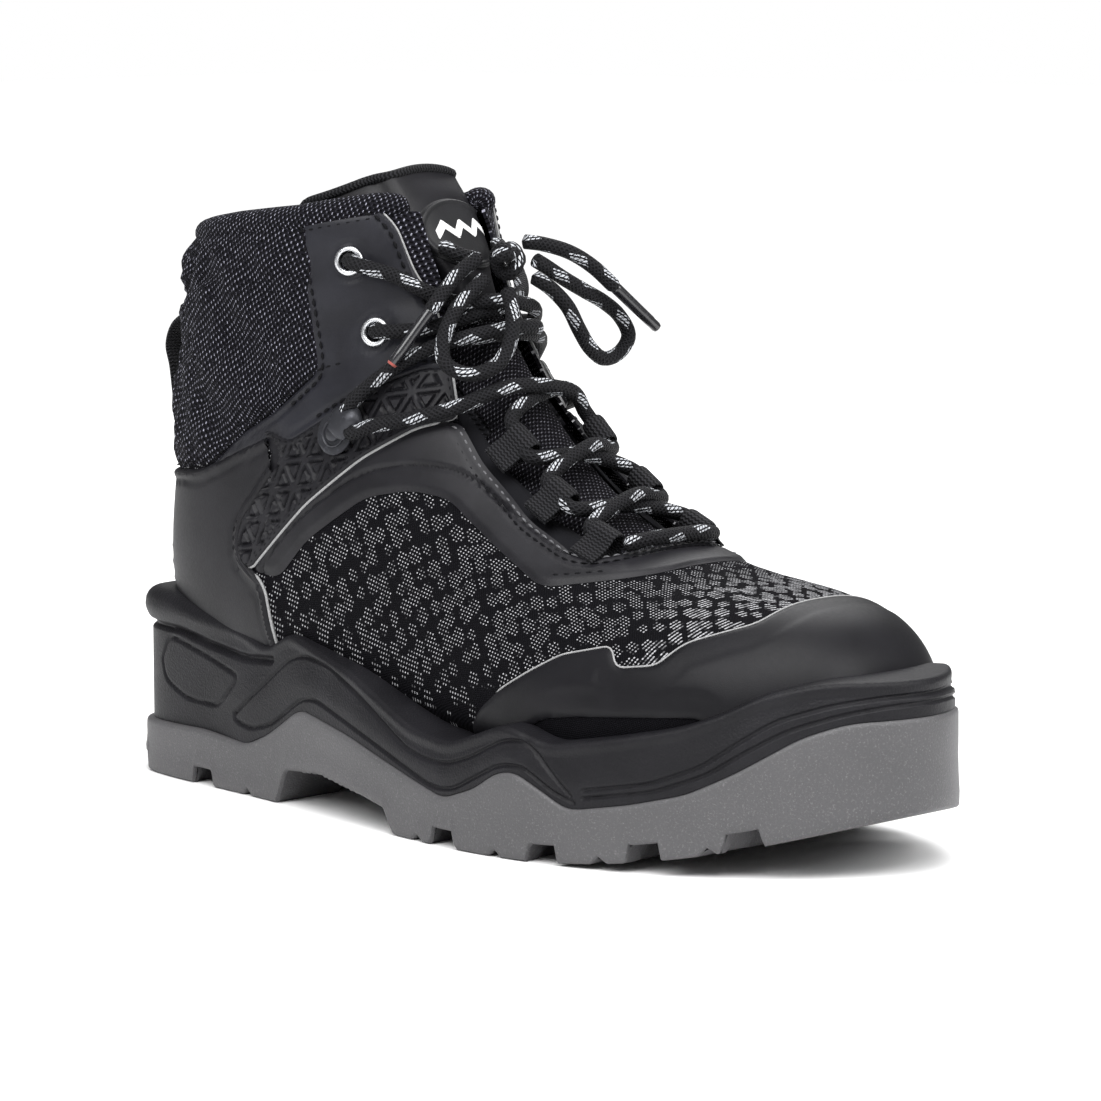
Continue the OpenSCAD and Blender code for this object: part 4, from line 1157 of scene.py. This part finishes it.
def fill_with_cloth(piece, held, frames=24, sink=0.3, swell=0.7):
    """Cloth simulation of a padded cover: held at its seams, slack, and pressed out by its filling.

    The filling stops the cloth: it may sink or swell only so far, in mm, from where it was laid.
    """
    laid = vertex_rows(piece.data.vertices, "co")
    outward = vertex_rows(piece.data.vertices, "normal")
    seams = piece.vertex_groups.new(name="seams")
    for index, weight in enumerate(held):
        seams.add([index], float(weight), "REPLACE")
    cloth = piece.modifiers.new("cloth", "CLOTH")
    for setting, value in CLOTH_SETTINGS.items():
        setattr(cloth.settings, setting, value)
    cloth.settings.effector_weights.gravity = 0
    cloth.point_cache.frame_start = 1
    cloth.point_cache.frame_end = frames
    for frame_number in range(1, frames + 1):
        bpy.context.scene.frame_set(frame_number)
    with bpy.context.temp_override(object=piece, active_object=piece, selected_objects=[piece]):
        bpy.ops.object.modifier_apply(modifier="cloth")
    bpy.context.scene.frame_set(1)
    moved = vertex_rows(piece.data.vertices, "co") - laid
    lift = (moved * outward).sum(axis=1)
    allowed = np.clip(lift, -sink * MM, swell * MM)
    settled = laid + moved + outward * (allowed - lift)[:, None]
    piece.data.vertices.foreach_set("co", settled.ravel())
    piece.data.update()


def make_collar():
    """Padded mesh collar in slack folds, drawn in behind the pull loop and flat under the eyestays."""
    patch = Patch((8.8, 15.0), COLLAR_SPAN, 1.7)
    field = np.minimum(patch.above(COLLAR_LINE), patch.below(COLLAR_TOP, ROLL - 1.5))
    cut = Cut(patch, np.minimum(field, -patch.inside(THROAT)))
    behind_loop = np.array([18.6, 0.0, 120.0])

    def height(at):
        from_top = rise(COLLAR_TOP, at.x) - ROLL + 1.5 - at.z
        puff = 3.0 * (1 - np.exp(-at.d / 5.0)) + 1.3 * np.exp(-from_top / 5.0)
        folds = 2.3 * waves(at.point * (0.8, 0.8, 1.7), 46, 3) + 1.2 * waves(at.point, 21, 6)
        crease = 2.4 * bump_at(at.z - 0.35 * (at.x - 20), 144, 3.4) * smooth_step((70 - at.x) / 30)
        behind_stay = smooth_step((at.x - 84) / 16)
        pinch = np.exp(-(((at.point - behind_loop) / (12, 11, 30)) ** 2).sum(-1))
        soft = np.maximum(puff + (folds - crease) * smooth_step(at.d / 9), 0.35 * puff)
        return soft * (1 - 0.95 * behind_stay) - 1.6 * pinch
    piece = make_panel("collar_mesh_cover", cut, height, ["collar_mesh"], edge_low=-1.0,
                       unroll=round_ankle, replaces=["collar_cover"])
    held = np.ones(len(piece.data.vertices))
    held[:len(cut.d)] = np.maximum(1 - smooth_step((cut.d - 1) / 4), smooth_step((cut.x - 78) / 12))
    fill_with_cloth(piece, held)


def top_rows(columns, drop):
    """Section number at which each column meets the collar's top line, less drop."""
    low = np.full(len(columns), 12.0)
    high = np.full(len(columns), 15.0)
    for _ in range(20):
        middle = (low + high) / 2
        p = upper_point(middle, columns)
        over = p[:, 2] > rise(COLLAR_TOP, p[:, 0]) - drop
        high = np.where(over, middle, high)
        low = np.where(over, low, middle)
    return (low + high) / 2


def make_collar_roll():
    columns = np.linspace(-1.9, -0.1, 150)
    rows = top_rows(columns, ROLL / 2)
    tubes = Tubes()
    tubes.sweep(on_upper(rows, columns, -ROLL / 2 + 0.4), upper_normal(rows, columns),
                ROLL + 1.6, ROLL + 3.0, 20, taper=5)
    piece = tubes.make("collar_roll_cover", ["collar_mesh"], replaces=["collar_roll"])


def make_lining():
    """Lining of the shaft, open in front for the tongue."""
    patch = Patch((8.0, 14.9), COLLAR_SPAN, 2.0)
    reach = np.abs(patch.P[..., 1])
    slot = np.where(patch.x > 95, reach - rise([[70, 14], [150, 22], [210, 22]], patch.z), 9.0)
    field = np.minimum(np.minimum(patch.below(COLLAR_TOP, ROLL - 3), 9.0), slot)

    def height(at):
        puff = 0.8 * smooth_step((at.z - 105) / 20) * (1 - smooth_step((at.z - 150) / 25))
        return -depth(at.s) - puff * (1 + waves(at.point, 30, 5)) + 0.3 * waves(at.point, 40, 7)
    make_panel("lining_inside", Cut(patch, field), height, ["lining_fabric"],
               edge_low=lambda at: -depth(at.s) + 1.0, unroll=round_ankle, replaces=["lining_back"])


# ---------------------------------------------------------------- tongue

TONGUE_PAD = 5.0
TONGUE_FILM_LINE = 148.0


def tongue_depth(s, v):
    middle = 2.4 + 2.8 * smooth_step((s - 10.5) / 3)
    side = depth(s) + 0.9
    shoulder = 0.05 + 0.04 * smooth_step((s - 10.5) / 1.5)
    return -(middle + (side - middle) * smooth_step((np.abs(v) - shoulder) / 0.06))


def tongue_top(y):
    """Height of the tongue's rounded upper edge."""
    return 167 + 24 * np.sqrt(np.clip(1 - (y / 34) ** 2, 0, 1))


def make_tongue():
    """Padded tongue: smooth film above the film line, mesh below it, and lining behind."""
    patch = Patch((5.1, 14.95), (-0.41, 0.41), 1.2)
    p = on_upper(patch.S, patch.V, tongue_depth(patch.S, patch.V))
    edge = np.minimum((0.405 - np.abs(patch.V)) * 90, (patch.S - 5.15) * 20)
    cut = Cut(patch, np.minimum(edge, tongue_top(p[..., 1]) - p[..., 2] - 1.2))
    face = tongue_depth(cut.s, cut.v)
    puff = 1.3 * smooth_step(cut.d / 9) * smooth_step((cut.s - 9.5) / 2.5)
    seam = 0.5 * bump_at(cut.z, TONGUE_FILM_LINE, 1.6)
    outer = cut.raised(face - 0.6 + puff * (1 - smooth_step((np.abs(cut.v) - 0.16) / 0.1)) - seam)
    inner = cut.raised(face - 1.3 - TONGUE_PAD * smooth_step(cut.d / 5))
    n = len(outer)
    back_faces = [tuple(reversed([i + n for i in f])) for f in cut.faces]
    skirt = [(a, a + n, b + n, b) for a, b in cut.rim]
    front_slots = [0 if outer[list(f), 2].mean() > TONGUE_FILM_LINE else 1 for f in cut.faces]
    piece = add_piece("tongue_pad", placed(np.vstack([outer, inner])), cut.faces + back_faces + skirt,
                      ["tongue_film", "tongue_mesh", "lining_fabric"], np.vstack([cut.uvs, cut.uvs]),
                      body="tongue", slot="tongue_fabric", replaces=["tongue_face", "tongue_foam"],
                      face_slots=front_slots + [2] * len(cut.faces) + [0] * len(skirt))
    bind_tongue((outer + inner) / 2, cut)


def bind_tongue(middle, cut):
    """Webbing binding round the tongue's upper edge."""
    binding = Tubes()
    for line in chains(cut.rim):
        route, normals = middle[line], cut.normal[line]
        for run in split_runs(route[:, 2] > 150):
            if len(run) > 20:
                smooth, across = even(route[run], normals[run], 1.5)
                for _ in range(4):
                    smooth[1:-1] = (smooth[:-2] + 2 * smooth[1:-1] + smooth[2:]) / 4
                binding.sweep(smooth, across, 3.0, 3.4, 10, taper=3)
    binding.make("tongue_binding", ["webbing"], body="tongue", slot="tongue_fabric")


def make_badge():
    """Oval rubber badge with a raised rim and three plain chevrons."""
    middle_y, middle_z, wide, high = 2.0, 170.0, 31.0, 20.0
    patch = Patch((9.6, 13.8), (-0.16, 0.16), 0.5)
    p = on_upper(patch.S, patch.V, tongue_depth(patch.S, patch.V))
    y, z = p[..., 1] - middle_y, p[..., 2] - middle_z
    field = (1 - np.hypot(y / (wide / 2), z / (high / 2))) * high / 2

    def height(at):
        rim = 0.45 * bump_at(at.d, 1.0, 0.8)
        return tongue_depth(at.s, at.v) + 0.9 + 0.7 * smooth_step(at.d / 0.7) + rim
    make_panel("badge_plate", Cut(patch, field), height, ["badge_rubber"],
               edge_low=lambda at: tongue_depth(at.s, at.v), body="tongue", replaces=["tongue_badge"])
    marks = np.full(field.shape, -9.0)
    for k in (-1, 0, 1):
        off = np.abs(y - 7.0 * k)
        arm = np.abs(z - 2.6 + 0.9 * off)
        marks = np.maximum(marks, np.minimum(1.3 - arm, 3.3 - off))
    make_panel("badge_chevrons", Cut(patch, np.minimum(marks, field - 2.0)),
               lambda at: tongue_depth(at.s, at.v) + 1.75, ["white_print"],
               edge_low=lambda at: tongue_depth(at.s, at.v) + 1.3, body="tongue", slot="badge_rubber")


# ---------------------------------------------------------------- lacing

LACE_D = 4.5
EYELET_BORE = 5.2
EYELET_RIM = 9.0
HOOK_RIVET = (9.83, 0.36)
HOOK_TIP = (9.5, 0.29)
LOOP_PLACES = [7.4, 6.4, 5.45]
LOOP_SIDE = 0.115
KNOT = np.array([142.0, 0.0, 163.0])
LIFT_LOW = 1.6
LIFT_HIGH = 5.2

LACE_BAR = [[5.15, -0.11, 3.9], [5.05, -0.05, 4.2], [5.05, 0.05, 4.2], [5.15, 0.11, 3.9]]
BOW_LATERAL = [[140, -6.5, 158.5], [140, -13, 154.5], [140, -20, 149], [141, -26, 141],
               [144, -28, 134.5], [150, -24, 131.5], [154, -17, 134], [154, -11, 141], [151, -7, 149],
               [147, -5, 155.5]]
BOW_MEDIAL = [[146, 7, 158.5], [149, 12, 154.5], [151, 17, 149], [151, 22, 142], [150, 28, 136],
              [150, 34, 132.5], [151, 40, 134], [152, 43, 139], [151, 40, 145], [150, 34, 149.5],
              [149, 27, 153], [148, 19, 157], [147, 12, 161], [146, 7.5, 163.5]]
END_LATERAL = [[138, -7, 164.5], [136, -13, 160.5], [136, -19, 156], [135.5, -25, 150]]
AGLET_LATERAL_TO = [129, -33, 136]
END_MEDIAL = [[142, 7, 168.5], [145, 13, 167.5], [149, 20, 165], [152, 27, 160.5], [155, 33, 154.5]]
AGLET_MEDIAL_TO = [159, 47, 142]
GRIPPED = 8.0


def crossing(low, high, lift):
    return [[low - 0.05, -LOOP_SIDE, 3], [low + 0.3, -LOOP_SIDE, 3], [(low + high) / 2, 0, lift],
            [high - 0.3, LOOP_SIDE, 3], [high + 0.05, LOOP_SIDE, 3]]


def to_hook(lift):
    return [[7.45, 0.115, 3], [7.8, 0.11, 3.2], [8, 0.05, lift], [8.25, -0.08, lift], [8.5, -0.19, 5],
            [8.85, -0.25, 5.6], [9.25, -0.3, 6.4], [9.52, -0.335, 6.3], [9.85, -0.325, 6.2],
            [9.9, -0.27, 5], [9.75, -0.19, 4.6], [9.4, -0.08, lift], [9.35, 0.04, lift], [9.6, 0.125, 1]]


def to_eyelet(lift):
    return [[10.83, 0.26, -0.8], [10.8, 0.255, 3], [10.5, 0.225, 4.8], [10.1, 0.17, 4.4],
            [9.9, 0.08, lift], [9.95, -0.02, lift], [10.3, -0.1, 2.2], [10.9, -0.155, 4.2],
            [11.6, -0.2, 4.4], [12.15, -0.25, 4.8], [12.43, -0.276, 3], [12.45, -0.28, -0.8]]


LACE_TOP = [[11.75, -0.085, 0.2], [11.6, -0.075, 2], [11.3, -0.055, 3.2]]


def lay(route):
    r = np.array(route, float)
    return on_upper(r[:, 0], r[:, 1], r[:, 2])


def mirrored(route):
    return [[s, -v, h] for s, v, h in route]


def flowing(points, step=0.9):
    """Smooth line through points, with its points a step apart."""
    p = np.asarray(points, float)
    p = np.vstack([2 * p[0] - p[1], p, 2 * p[-1] - p[-2]])
    result = []
    for i in range(1, len(p) - 2):
        for t in np.linspace(0, 1, 14, endpoint=False):
            result.append(0.5 * (2 * p[i] + (p[i + 1] - p[i - 1]) * t
                                 + (2 * p[i - 1] - 5 * p[i] + 4 * p[i + 1] - p[i + 2]) * t * t
                                 + (3 * p[i] - p[i - 1] - 3 * p[i + 1] + p[i + 2]) * t ** 3))
    result.append(p[-2])
    line = np.array(result)
    length = lengths_along(line)
    return read_at(line, length, np.linspace(0, length[-1], max(int(length[-1] / step), 4) + 1))


def carried(points):
    """A crosswise direction at each point, carried along the line without twist."""
    ahead = unit(np.gradient(points, axis=0))
    normal = np.array([0.0, 0.0, 1.0]) if abs(ahead[0][2]) < 0.9 else np.array([1.0, 0.0, 0.0])
    normals = []
    for a in ahead:
        normal = unit(normal - a * (normal @ a))
        normals.append(normal)
    return np.array(normals)


def lace_tubes(lines, taper, **options):
    """Lace-thick tubes along lines of points in mm."""
    tubes = Tubes()
    for line in lines:
        tubes.sweep(line, carried(line), LACE_D, LACE_D, 14, taper=taper, **options)
    return tubes


def make_lace():
    """The tight part of the lace, from the lowest bar to the knot."""
    routes = [lay(LACE_BAR)]
    upper_loop, middle_loop, lowest_loop = LOOP_PLACES
    for low, high in ((lowest_loop, middle_loop), (middle_loop, upper_loop)):
        routes.append(lay(crossing(low, high, LIFT_HIGH)))
        routes.append(lay(mirrored(crossing(low, high, LIFT_LOW))))
    for builder in (to_hook, to_eyelet):
        routes.append(lay(builder(LIFT_HIGH)))
        routes.append(lay(mirrored(builder(LIFT_LOW))))
    for route in (LACE_TOP, mirrored(LACE_TOP)):
        toward = KNOT - np.array([7, -3 * np.sign(route[0][1]), 0])
        routes.append(np.vstack([lay(route), toward]))
    tubes = lace_tubes([flowing(route) for route in routes], 1.5)
    tubes.make("lace_drawn_tight", ["lace_cord"], replaces=["lace"])


def make_knot():
    """Bow knot: the lace goes once round the two loops and tucks under."""
    turn = np.linspace(0, 2 * math.pi * 1.35, 46)
    wrap = KNOT + np.stack([3.4 * np.cos(turn), 1.6 * (turn / math.pi - 1.3), 3.6 * np.sin(turn)], -1)
    bight = flowing([KNOT + (-1, -5, 1), KNOT + (2.4, -2, 2.4), KNOT + (2.6, 2, 1.5), KNOT + (0, 5.5, -1)])
    lace_tubes([wrap, bight], 2).make("bow_knot", ["lace_cord"], replaces=["lace_knot"])


def make_free_cord(name, route, body, node, far_end, gripped=0.0, **facts):
    """Free cord along route. Its last gripped mm are pressed thin by a tag."""
    line = flowing(route)
    tubes = lace_tubes([line], 0.8, gripped=gripped)
    piece = tubes.make(name, ["lace_cord"], body=body, replaces=[node])


def make_aglet(name, start, out, body, node, tip_slot):
    """Tag with a crimped ring near its end, from start in direction out."""
    at = np.array([0.3, 0.5, 1.5, 16.0, 17.0, 17.6, 19.6, 20.3, 20.4])
    size = np.array([3.0, 3.5, 3.6, 3.4, 3.4, 3.2, 3.2, 2.8, 1.2]) / 2
    line = start + out * at[:, None]
    normals = carried(line)
    side = np.cross(out, normals)
    turn = np.linspace(0, 2 * np.pi, 20, endpoint=False)
    rings = (line[:, None] + (np.cos(turn)[None, :, None] * side[:, None]
                              + np.sin(turn)[None, :, None] * normals[:, None]) * size[:, None, None])
    count = len(turn)
    faces = band_faces(len(at), count)
    slots_of = [1 if at[face[0] // count] >= 19.5 else 0 for face in faces]
    faces.append(tuple(range(count)))
    faces.append(tuple((len(at) - 1) * count + k for k in reversed(range(count))))
    flat = np.zeros((len(at) * count, 2))
    return add_piece(name, placed(rings.reshape(-1, 3)), faces, ["aglet_plastic", tip_slot], flat,
                     body=body, replaces=[node], face_slots=slots_of + [0, 1], smooth=50)


def make_cords():
    """The free loops and ends of the bow."""
    make_free_cord("bow_loop_lateral_cord", BOW_LATERAL, "bow_lateral", "bow_loop_lateral", "object")
    make_free_cord("bow_loop_medial_cord", BOW_MEDIAL, "bow_medial", "bow_loop_medial", "object")
    for name, route, toward, tip in (("lateral", END_LATERAL, AGLET_LATERAL_TO, "red_tip"),
                                     ("medial", END_MEDIAL, AGLET_MEDIAL_TO, "aglet_plastic")):
        start = np.array(route[-1], float)
        out = unit(np.array(toward, float) - start)
        tag = make_aglet("aglet_" + name + "_tag", start, out, "bow_" + name, "aglet_" + name, tip)
        held = [list(start + out * share * GRIPPED) for share in (0.5, 1)]
        make_free_cord("lace_end_" + name + "_cord", route + held, "bow_" + name, "lace_end_" + name,
                       "fitting", gripped=GRIPPED, with_pieces=[tag])


# ---------------------------------------------------------------- fittings

def seat_frame(place, target, h):
    """Origin and axes of a fitting: z off the upper, x towards the target."""
    z = upper_normal(*place)
    x = upper_point(*target) - upper_point(*place)
    x = unit(x - z * (x @ z))
    return on_upper(*place, h), x, np.cross(z, x), z


def in_seat(points, seat):
    """Points of a fitting, given along its own axes, as drawing points."""
    origin, x, y, z = seat
    return origin + points @ np.array([x, y, z])


def turned_part(profile, seat, sides=40):
    """Surface of revolution about the seat's z, from (radius, height) pairs, closed on itself."""
    turn = np.linspace(0, 2 * np.pi, sides, endpoint=False)
    points = np.array([(r * np.cos(t), r * np.sin(t), h) for r, h in profile for t in turn])
    faces = band_faces(len(profile) + 1, sides)
    return in_seat(points, seat), [tuple(vertex % len(points) for vertex in face) for face in faces]


def sheet_faces(n, m):
    """Faces of a thick sheet with an upper layer of n by m points and then a lower one."""
    under = n * m
    faces = []
    for i in range(n - 1):
        for k in range(m - 1):
            a = i * m + k
            faces.append((a, a + m, a + m + 1, a + 1))
            faces.append((a + under, a + under + 1, a + under + m + 1, a + under + m))
        first, last = i * m, i * m + m - 1
        faces.append((first + under, first + m + under, first + m, first))
        faces.append((last, last + m, last + m + under, last + under))
    for k in range(m - 1):
        a, b = k, (n - 1) * m + k
        faces.append((a, a + 1, a + 1 + under, a + under))
        faces.append((b + under, b + 1 + under, b + 1, b))
    return faces


def strip(line, half_width, thick, columns, soften, power, step, curl=0.0, raised=0.0):
    """Thick strip along a line in the plane y = 0: its points, upper layer first, faces and uvs.

    Its long edges thin out by the share soften, and its middle stands curl mm over them.
    """
    n = len(line)
    half_width = np.broadcast_to(half_width, n)
    curl = np.broadcast_to(curl, n)
    ahead = unit(np.gradient(line, axis=0))
    out = np.stack([-ahead[:, 2], np.zeros(n), ahead[:, 0]], -1)
    across = np.linspace(-1, 1, columns)
    edge = 1 - soften * np.abs(across) ** power
    sideways = half_width[:, None] * across
    layers = []
    for layer in (0.5, -0.5):
        lift = raised + layer * thick * edge - curl[:, None] * across ** 2
        points = line[:, None] + out[:, None] * lift[..., None]
        points[..., 1] += sideways
        layers.append(points.reshape(-1, 3))
    along = np.broadcast_to(step * np.arange(n)[:, None], sideways.shape)
    uvs = np.stack([along, sideways + half_width[:, None]], -1).reshape(-1, 2)
    return np.vstack(layers), sheet_faces(n, columns), np.vstack([uvs, uvs])


class Parts:
    """Collects several solids into one mesh."""

    def __init__(self):
        self.points, self.faces, self.uvs = np.empty((0, 3)), [], np.empty((0, 2))

    def add(self, points, faces, uvs=None):
        base = len(self.points)
        self.points = np.vstack([self.points, points])
        self.uvs = np.vstack([self.uvs, points[:, [0, 2]] if uvs is None else uvs])
        self.faces += [tuple(i + base for i in f) for f in faces]

    def make(self, name, slots, **options):
        add_piece(name, placed(self.points), self.faces, slots, self.uvs, smooth=50, **options)


def make_eyelets():
    """Rolled rims with a barrel down through the panel."""
    parts = Parts()
    bore, rim = EYELET_BORE / 2, EYELET_RIM / 2
    middle, half = (bore + rim) / 2, (rim - bore) / 2
    arc = [math.radians(angle) for angle in range(180, -1, -20)]
    profile = [(bore, -1.9), (bore, 0.2)]
    profile += [(middle + half * math.cos(a), 0.15 + 0.95 * math.sin(a)) for a in arc]
    profile += [(rim - 0.1, 0.0), (bore + 0.8, 0.0), (bore + 0.7, -1.9)]
    for s, v in EYELET_PLACES:
        for side in (-1, 1):
            parts.add(*turned_part(profile, seat_frame((s, v * side), (s - 1, v * side), 1.45)))
    parts.make("eyelet_rims", ["eyelet_metal"], replaces=["eyelets"])


HOOK_PLATE = 13.0
HOOK_NECK = 5.2
HOOK_LIP = 10.4
HOOK_REACH = 9.0
HOOK_THICK = 1.2
HOOK_SEAT = 2.6


def hook_profile():
    """Side view of the hook as a line in the plane y = 0, with its half width at each point."""
    bend = (LACE_D + 0.6 + HOOK_THICK) / 2
    plate = np.linspace(-HOOK_PLATE / 2, HOOK_REACH, 24)
    turn = np.radians(np.linspace(-80, 80, 12))
    lip = np.linspace(0, 1, 12)
    neck = np.full(len(turn), HOOK_NECK / 2)
    across = np.sqrt(np.maximum((HOOK_PLATE / 2) ** 2 - plate ** 2, 0))
    plate_wide = np.maximum(across, np.where(plate > 0, HOOK_NECK / 2, 0.35))
    grow = HOOK_NECK / 2 + (HOOK_LIP - HOOK_NECK) / 2 * smooth_step(lip / 0.5)
    lip_wide = np.maximum(grow * np.sqrt(1 - np.clip(lip * 1.9 - 0.9, 0, 1) ** 2), 0.35)
    x = np.concatenate([plate, HOOK_REACH + bend * np.cos(turn), HOOK_REACH + 0.4 - 7.0 * lip])
    z = np.concatenate([plate * 0, bend + bend * np.sin(turn), 2 * bend + 0.5 * lip])
    return np.stack([x, 0 * x, z], -1), np.concatenate([plate_wide, neck, lip_wide])


def make_hooks():
    """Pressed plates whose narrow neck curls up and back over the lace as a leaf-shaped lip."""
    route, width = hook_profile()
    dome = 1.3 * smooth_step((route[:, 2] - 2) / 2.5) * np.minimum(width / 4, 1)
    points, faces, _ = strip(route, width, HOOK_THICK, 13, 0.55, 6, 1.0, curl=-dome, raised=HOOK_THICK / 2)
    arc = [math.radians(a) for a in range(15, 91, 15)]
    head = [(0.01, 1.55)] + [(2.7 * math.sin(a), 0.25 + 1.3 * math.cos(a)) for a in arc]
    head += [(2.5, 0.0), (1.5, 0.0), (1.5, -1.0), (0.01, -1.0)]
    ring = [(3.6, 0.0), (3.7, 0.3), (4.0, 0.5), (4.3, 0.3), (4.2, 0.0)]
    plates, rivets = Parts(), Parts()
    for side in (-1, 1):
        rivet, tip = (HOOK_RIVET[0], HOOK_RIVET[1] * side), (HOOK_TIP[0], HOOK_TIP[1] * side)
        plates.add(in_seat(points, seat_frame(rivet, tip, HOOK_SEAT)), faces)
        for profile in (head, ring):
            rivets.add(*turned_part(profile, seat_frame(rivet, tip, HOOK_SEAT + HOOK_THICK)))
    plates.make("hook_plates", ["hook_metal"], replaces=["hooks"])
    rivets.make("hook_rivet_heads", ["hook_metal"], replaces=["hook_rivets"])


def make_webbing_loops():
    """Folded webbing, sewn under the throat's edge, with the lace in its fold."""
    thick, wide, step = 1.0, 9.0, 0.7
    middle = LACE_D / 2 + 0.35 + thick / 2
    fold = [math.radians(angle) for angle in np.linspace(-95, 150, 16)]
    route = [(-10.0, -3.1), (-7.0, -2.5), (-4.0, -middle + 0.2)]
    route += [(middle * math.cos(a), middle * math.sin(a)) for a in fold]
    route += [(-4.2, 0.2), (-7.0, -1.1), (-10.0, -2.0)]
    line = flowing([(x, 0.0, z) for x, z in route], step)
    points, faces, uvs = strip(line, wide / 2, thick, 9, 0.5, 8, step)
    parts = Parts()
    for s in LOOP_PLACES:
        for side in (-1, 1):
            seat = seat_frame((s, LOOP_SIDE * side), (s, 0.0), 3.0)
            parts.add(in_seat(points, seat), faces, uvs)
    parts.make("webbing_lace_loops", ["webbing"], replaces=["webbing_loops"])


# ---------------------------------------------------------------- heel loop

PULL_PATH = [[24, 147], [21, 146.2], [18, 144.8], [13, 142.5], [7, 138.5], [4.2, 132], [5.8, 125],
             [7, 117], [8.6, 109], [12.6, 102], [15.6, 97], [19, 93.5]]
PULL_WIDTH = 18.0
PULL_THICK = 1.6


def make_pull_loop():
    """Ribbed webbing that bows out from the heel, with rows of plain light blocks."""
    step, columns = 0.6, 25
    line = flowing([(x, 0.0, z) for x, z in reversed(PULL_PATH)], step)
    n = len(line)
    share = np.linspace(0, 1, n)
    gathered = 0.42 * (1 - smooth_step(np.minimum(share, 1 - share) / 0.15))
    points, faces, uvs = strip(line, PULL_WIDTH / 2 * (1 - gathered), PULL_THICK, columns, 0.6, 10, step,
                               curl=0.5 * np.sin(share * math.pi))
    across = np.linspace(-1, 1, columns)

    def block(face):
        """1 for a face in a light block of the outer layer, and 0 for plain webbing."""
        i, k = divmod(face[0], columns)
        on_dash = (step * i) % 6.4 < 3.4 and 0.16 < share[i % n] < 0.84
        return int(max(face) < n * columns and on_dash and 0.22 < abs(across[k] + 0.04) < 0.62)
    add_piece("heel_pull_loop", placed(points), faces, ["webbing", "white_print"], uvs, body="pull_loop",
              replaces=["pull_loop"], face_slots=[block(f) for f in faces], smooth=60)


# ---------------------------------------------------------------- seams

def make_seams():
    """Stitch runs, piping, and pale raw edges with a painted highlight along the toe guard's top rim,
    sorted by thread.
    """
    dark, pale, cord, edge_and_highlight_tubes = Tubes(), Tubes(), Tubes(), Tubes()

    def stitch(tubes, patch, field, keep, lift, **size):
        for line in seam_lines(patch, field, keep):
            tubes.stitches(line, lift, **size)

    def pipe(tubes, patch, field, keep, lift, wide, high):
        for line in seam_lines(patch, field, keep):
            tubes.piping(line, lift, wide, high)

    def collar_back(p):
        """Behind the eyestays, and clear of the pull loop."""
        return (p[:, 0] < 108) & ((p[:, 0] > 32) | (np.abs(p[:, 1]) > 12))

    patch = Patch((3.6, 11.2), (-0.7, 0.7), 1.2)
    quarter = patch.inside(QUARTER, 5)
    throat = rounded(THROAT_EDGE, 5, closed=False)
    stitch(pale, patch, quarter - 1.4, beside(throat, 3.6), 1.15, length=2.3, gap=0.8)
    stitch(dark, patch, quarter - 3.6, beside(throat, 5.8), 1.1, length=2.3, gap=0.8)
    collar = Patch((8.8, 15.0), COLLAR_SPAN, 1.5)
    stitch(dark, collar, collar.above(COLLAR_LINE) - 1.2, collar_back, 1.0)
    stitch(dark, collar, collar.below(COLLAR_TOP, ROLL + 0.2), lambda p: p[:, 0] < 112, 1.0, length=2.0)
    for side in (-1, 1):
        stay = Patch((8.6, 14.8), one_side(side, 0.05, 0.72), 1.2)
        field = stay.inside(EYESTAY, 3)
        stitch(dark, stay, field - 2.2, lambda p: p[:, 2] > 116, 1.0, length=2.4, gap=0.8, wide=0.95)
        pipe(edge_and_highlight_tubes, stay, field + 0.1, beside(EYESTAY[1:6], 2), 0.6, 0.6, 0.6)
        strap = stay.inside(STRAP, 2.5)
        pipe(edge_and_highlight_tubes, stay, strap + 0.1, beside(STRAP[:7], 1.6), 0.9, 0.8, 0.7)
        stitch(dark, stay, strap - 1.2, lambda p: p[:, 2] > 68 + 0.66 * (p[:, 0] - 72), 1.5,
               length=2.1, gap=0.7)
    heel = Patch((8.2, 12.6), (-1.53, -0.47), 1.2)
    guard = heel.inside(COUNTER, 4)
    front = beside(COUNTER[7:11], 2)
    pipe(cord, heel, guard - 1.3, lambda p: (p[:, 2] > 66) & (p[:, 2] < 100), 1.35, 1.5, 1.1)
    pipe(edge_and_highlight_tubes, heel, guard + 0.1, lambda p: front(p) & (p[:, 2] < 68), 0.7, 0.9, 0.8)
    toe = Patch((1.0, 6.0), (-0.9, 0.9), 1.2)
    # Pale tube along the toe guard's top rim: a painted highlight over the cut edge's light core.
    pipe(edge_and_highlight_tubes, toe, toe.inside(TOE_OVERLAY, 2.5), beside(TOE_OVERLAY[3:12], 2.5), 0.65, 0.55, 0.5)
    dark.make("seams_dark", ["dark_thread"], slot="overlay_film")
    pale.make("seams_pale", ["pale_thread"], slot="overlay_film")
    cord.make("heel_guard_piping", ["counter_film"])
    edge_and_highlight_tubes.make("pale_edges_and_highlights", ["pale_edge_and_highlight"], slot="overlay_film")


# ---------------------------------------------------------------- hidden and carried-over pieces

CARRIED = {"insole_board": "insole_board", "footbed": "footbed_foam", "toe_cap": "toe_cap_steel",
           "heel_stiffener": "stiffener_board", "collar_foam": "foam", "lining_front": "lining_fabric"}


def dress_carried_nodes():
    for node, material in CARRIED.items():
        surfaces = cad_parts[node].data.materials
        for index in range(len(surfaces)):
            surfaces[index] = MATERIALS[material]


make_camera()
make_studio()
MATERIALS.update(make_materials())
make_cords()
make_lace()
make_knot()
make_outsole()
make_midsole()
make_knit()
make_toe_overlay()
make_quarter_overlay()
make_counter()
for number, label in ((-1, "lateral"), (1, "medial")):
    make_strap(number, label)
    make_eyestay(number, label)
make_collar()
make_collar_roll()
make_lining()
make_tongue()
make_badge()
make_eyelets()
make_hooks()
make_webbing_loops()
make_pull_loop()
make_seams()
dress_carried_nodes()
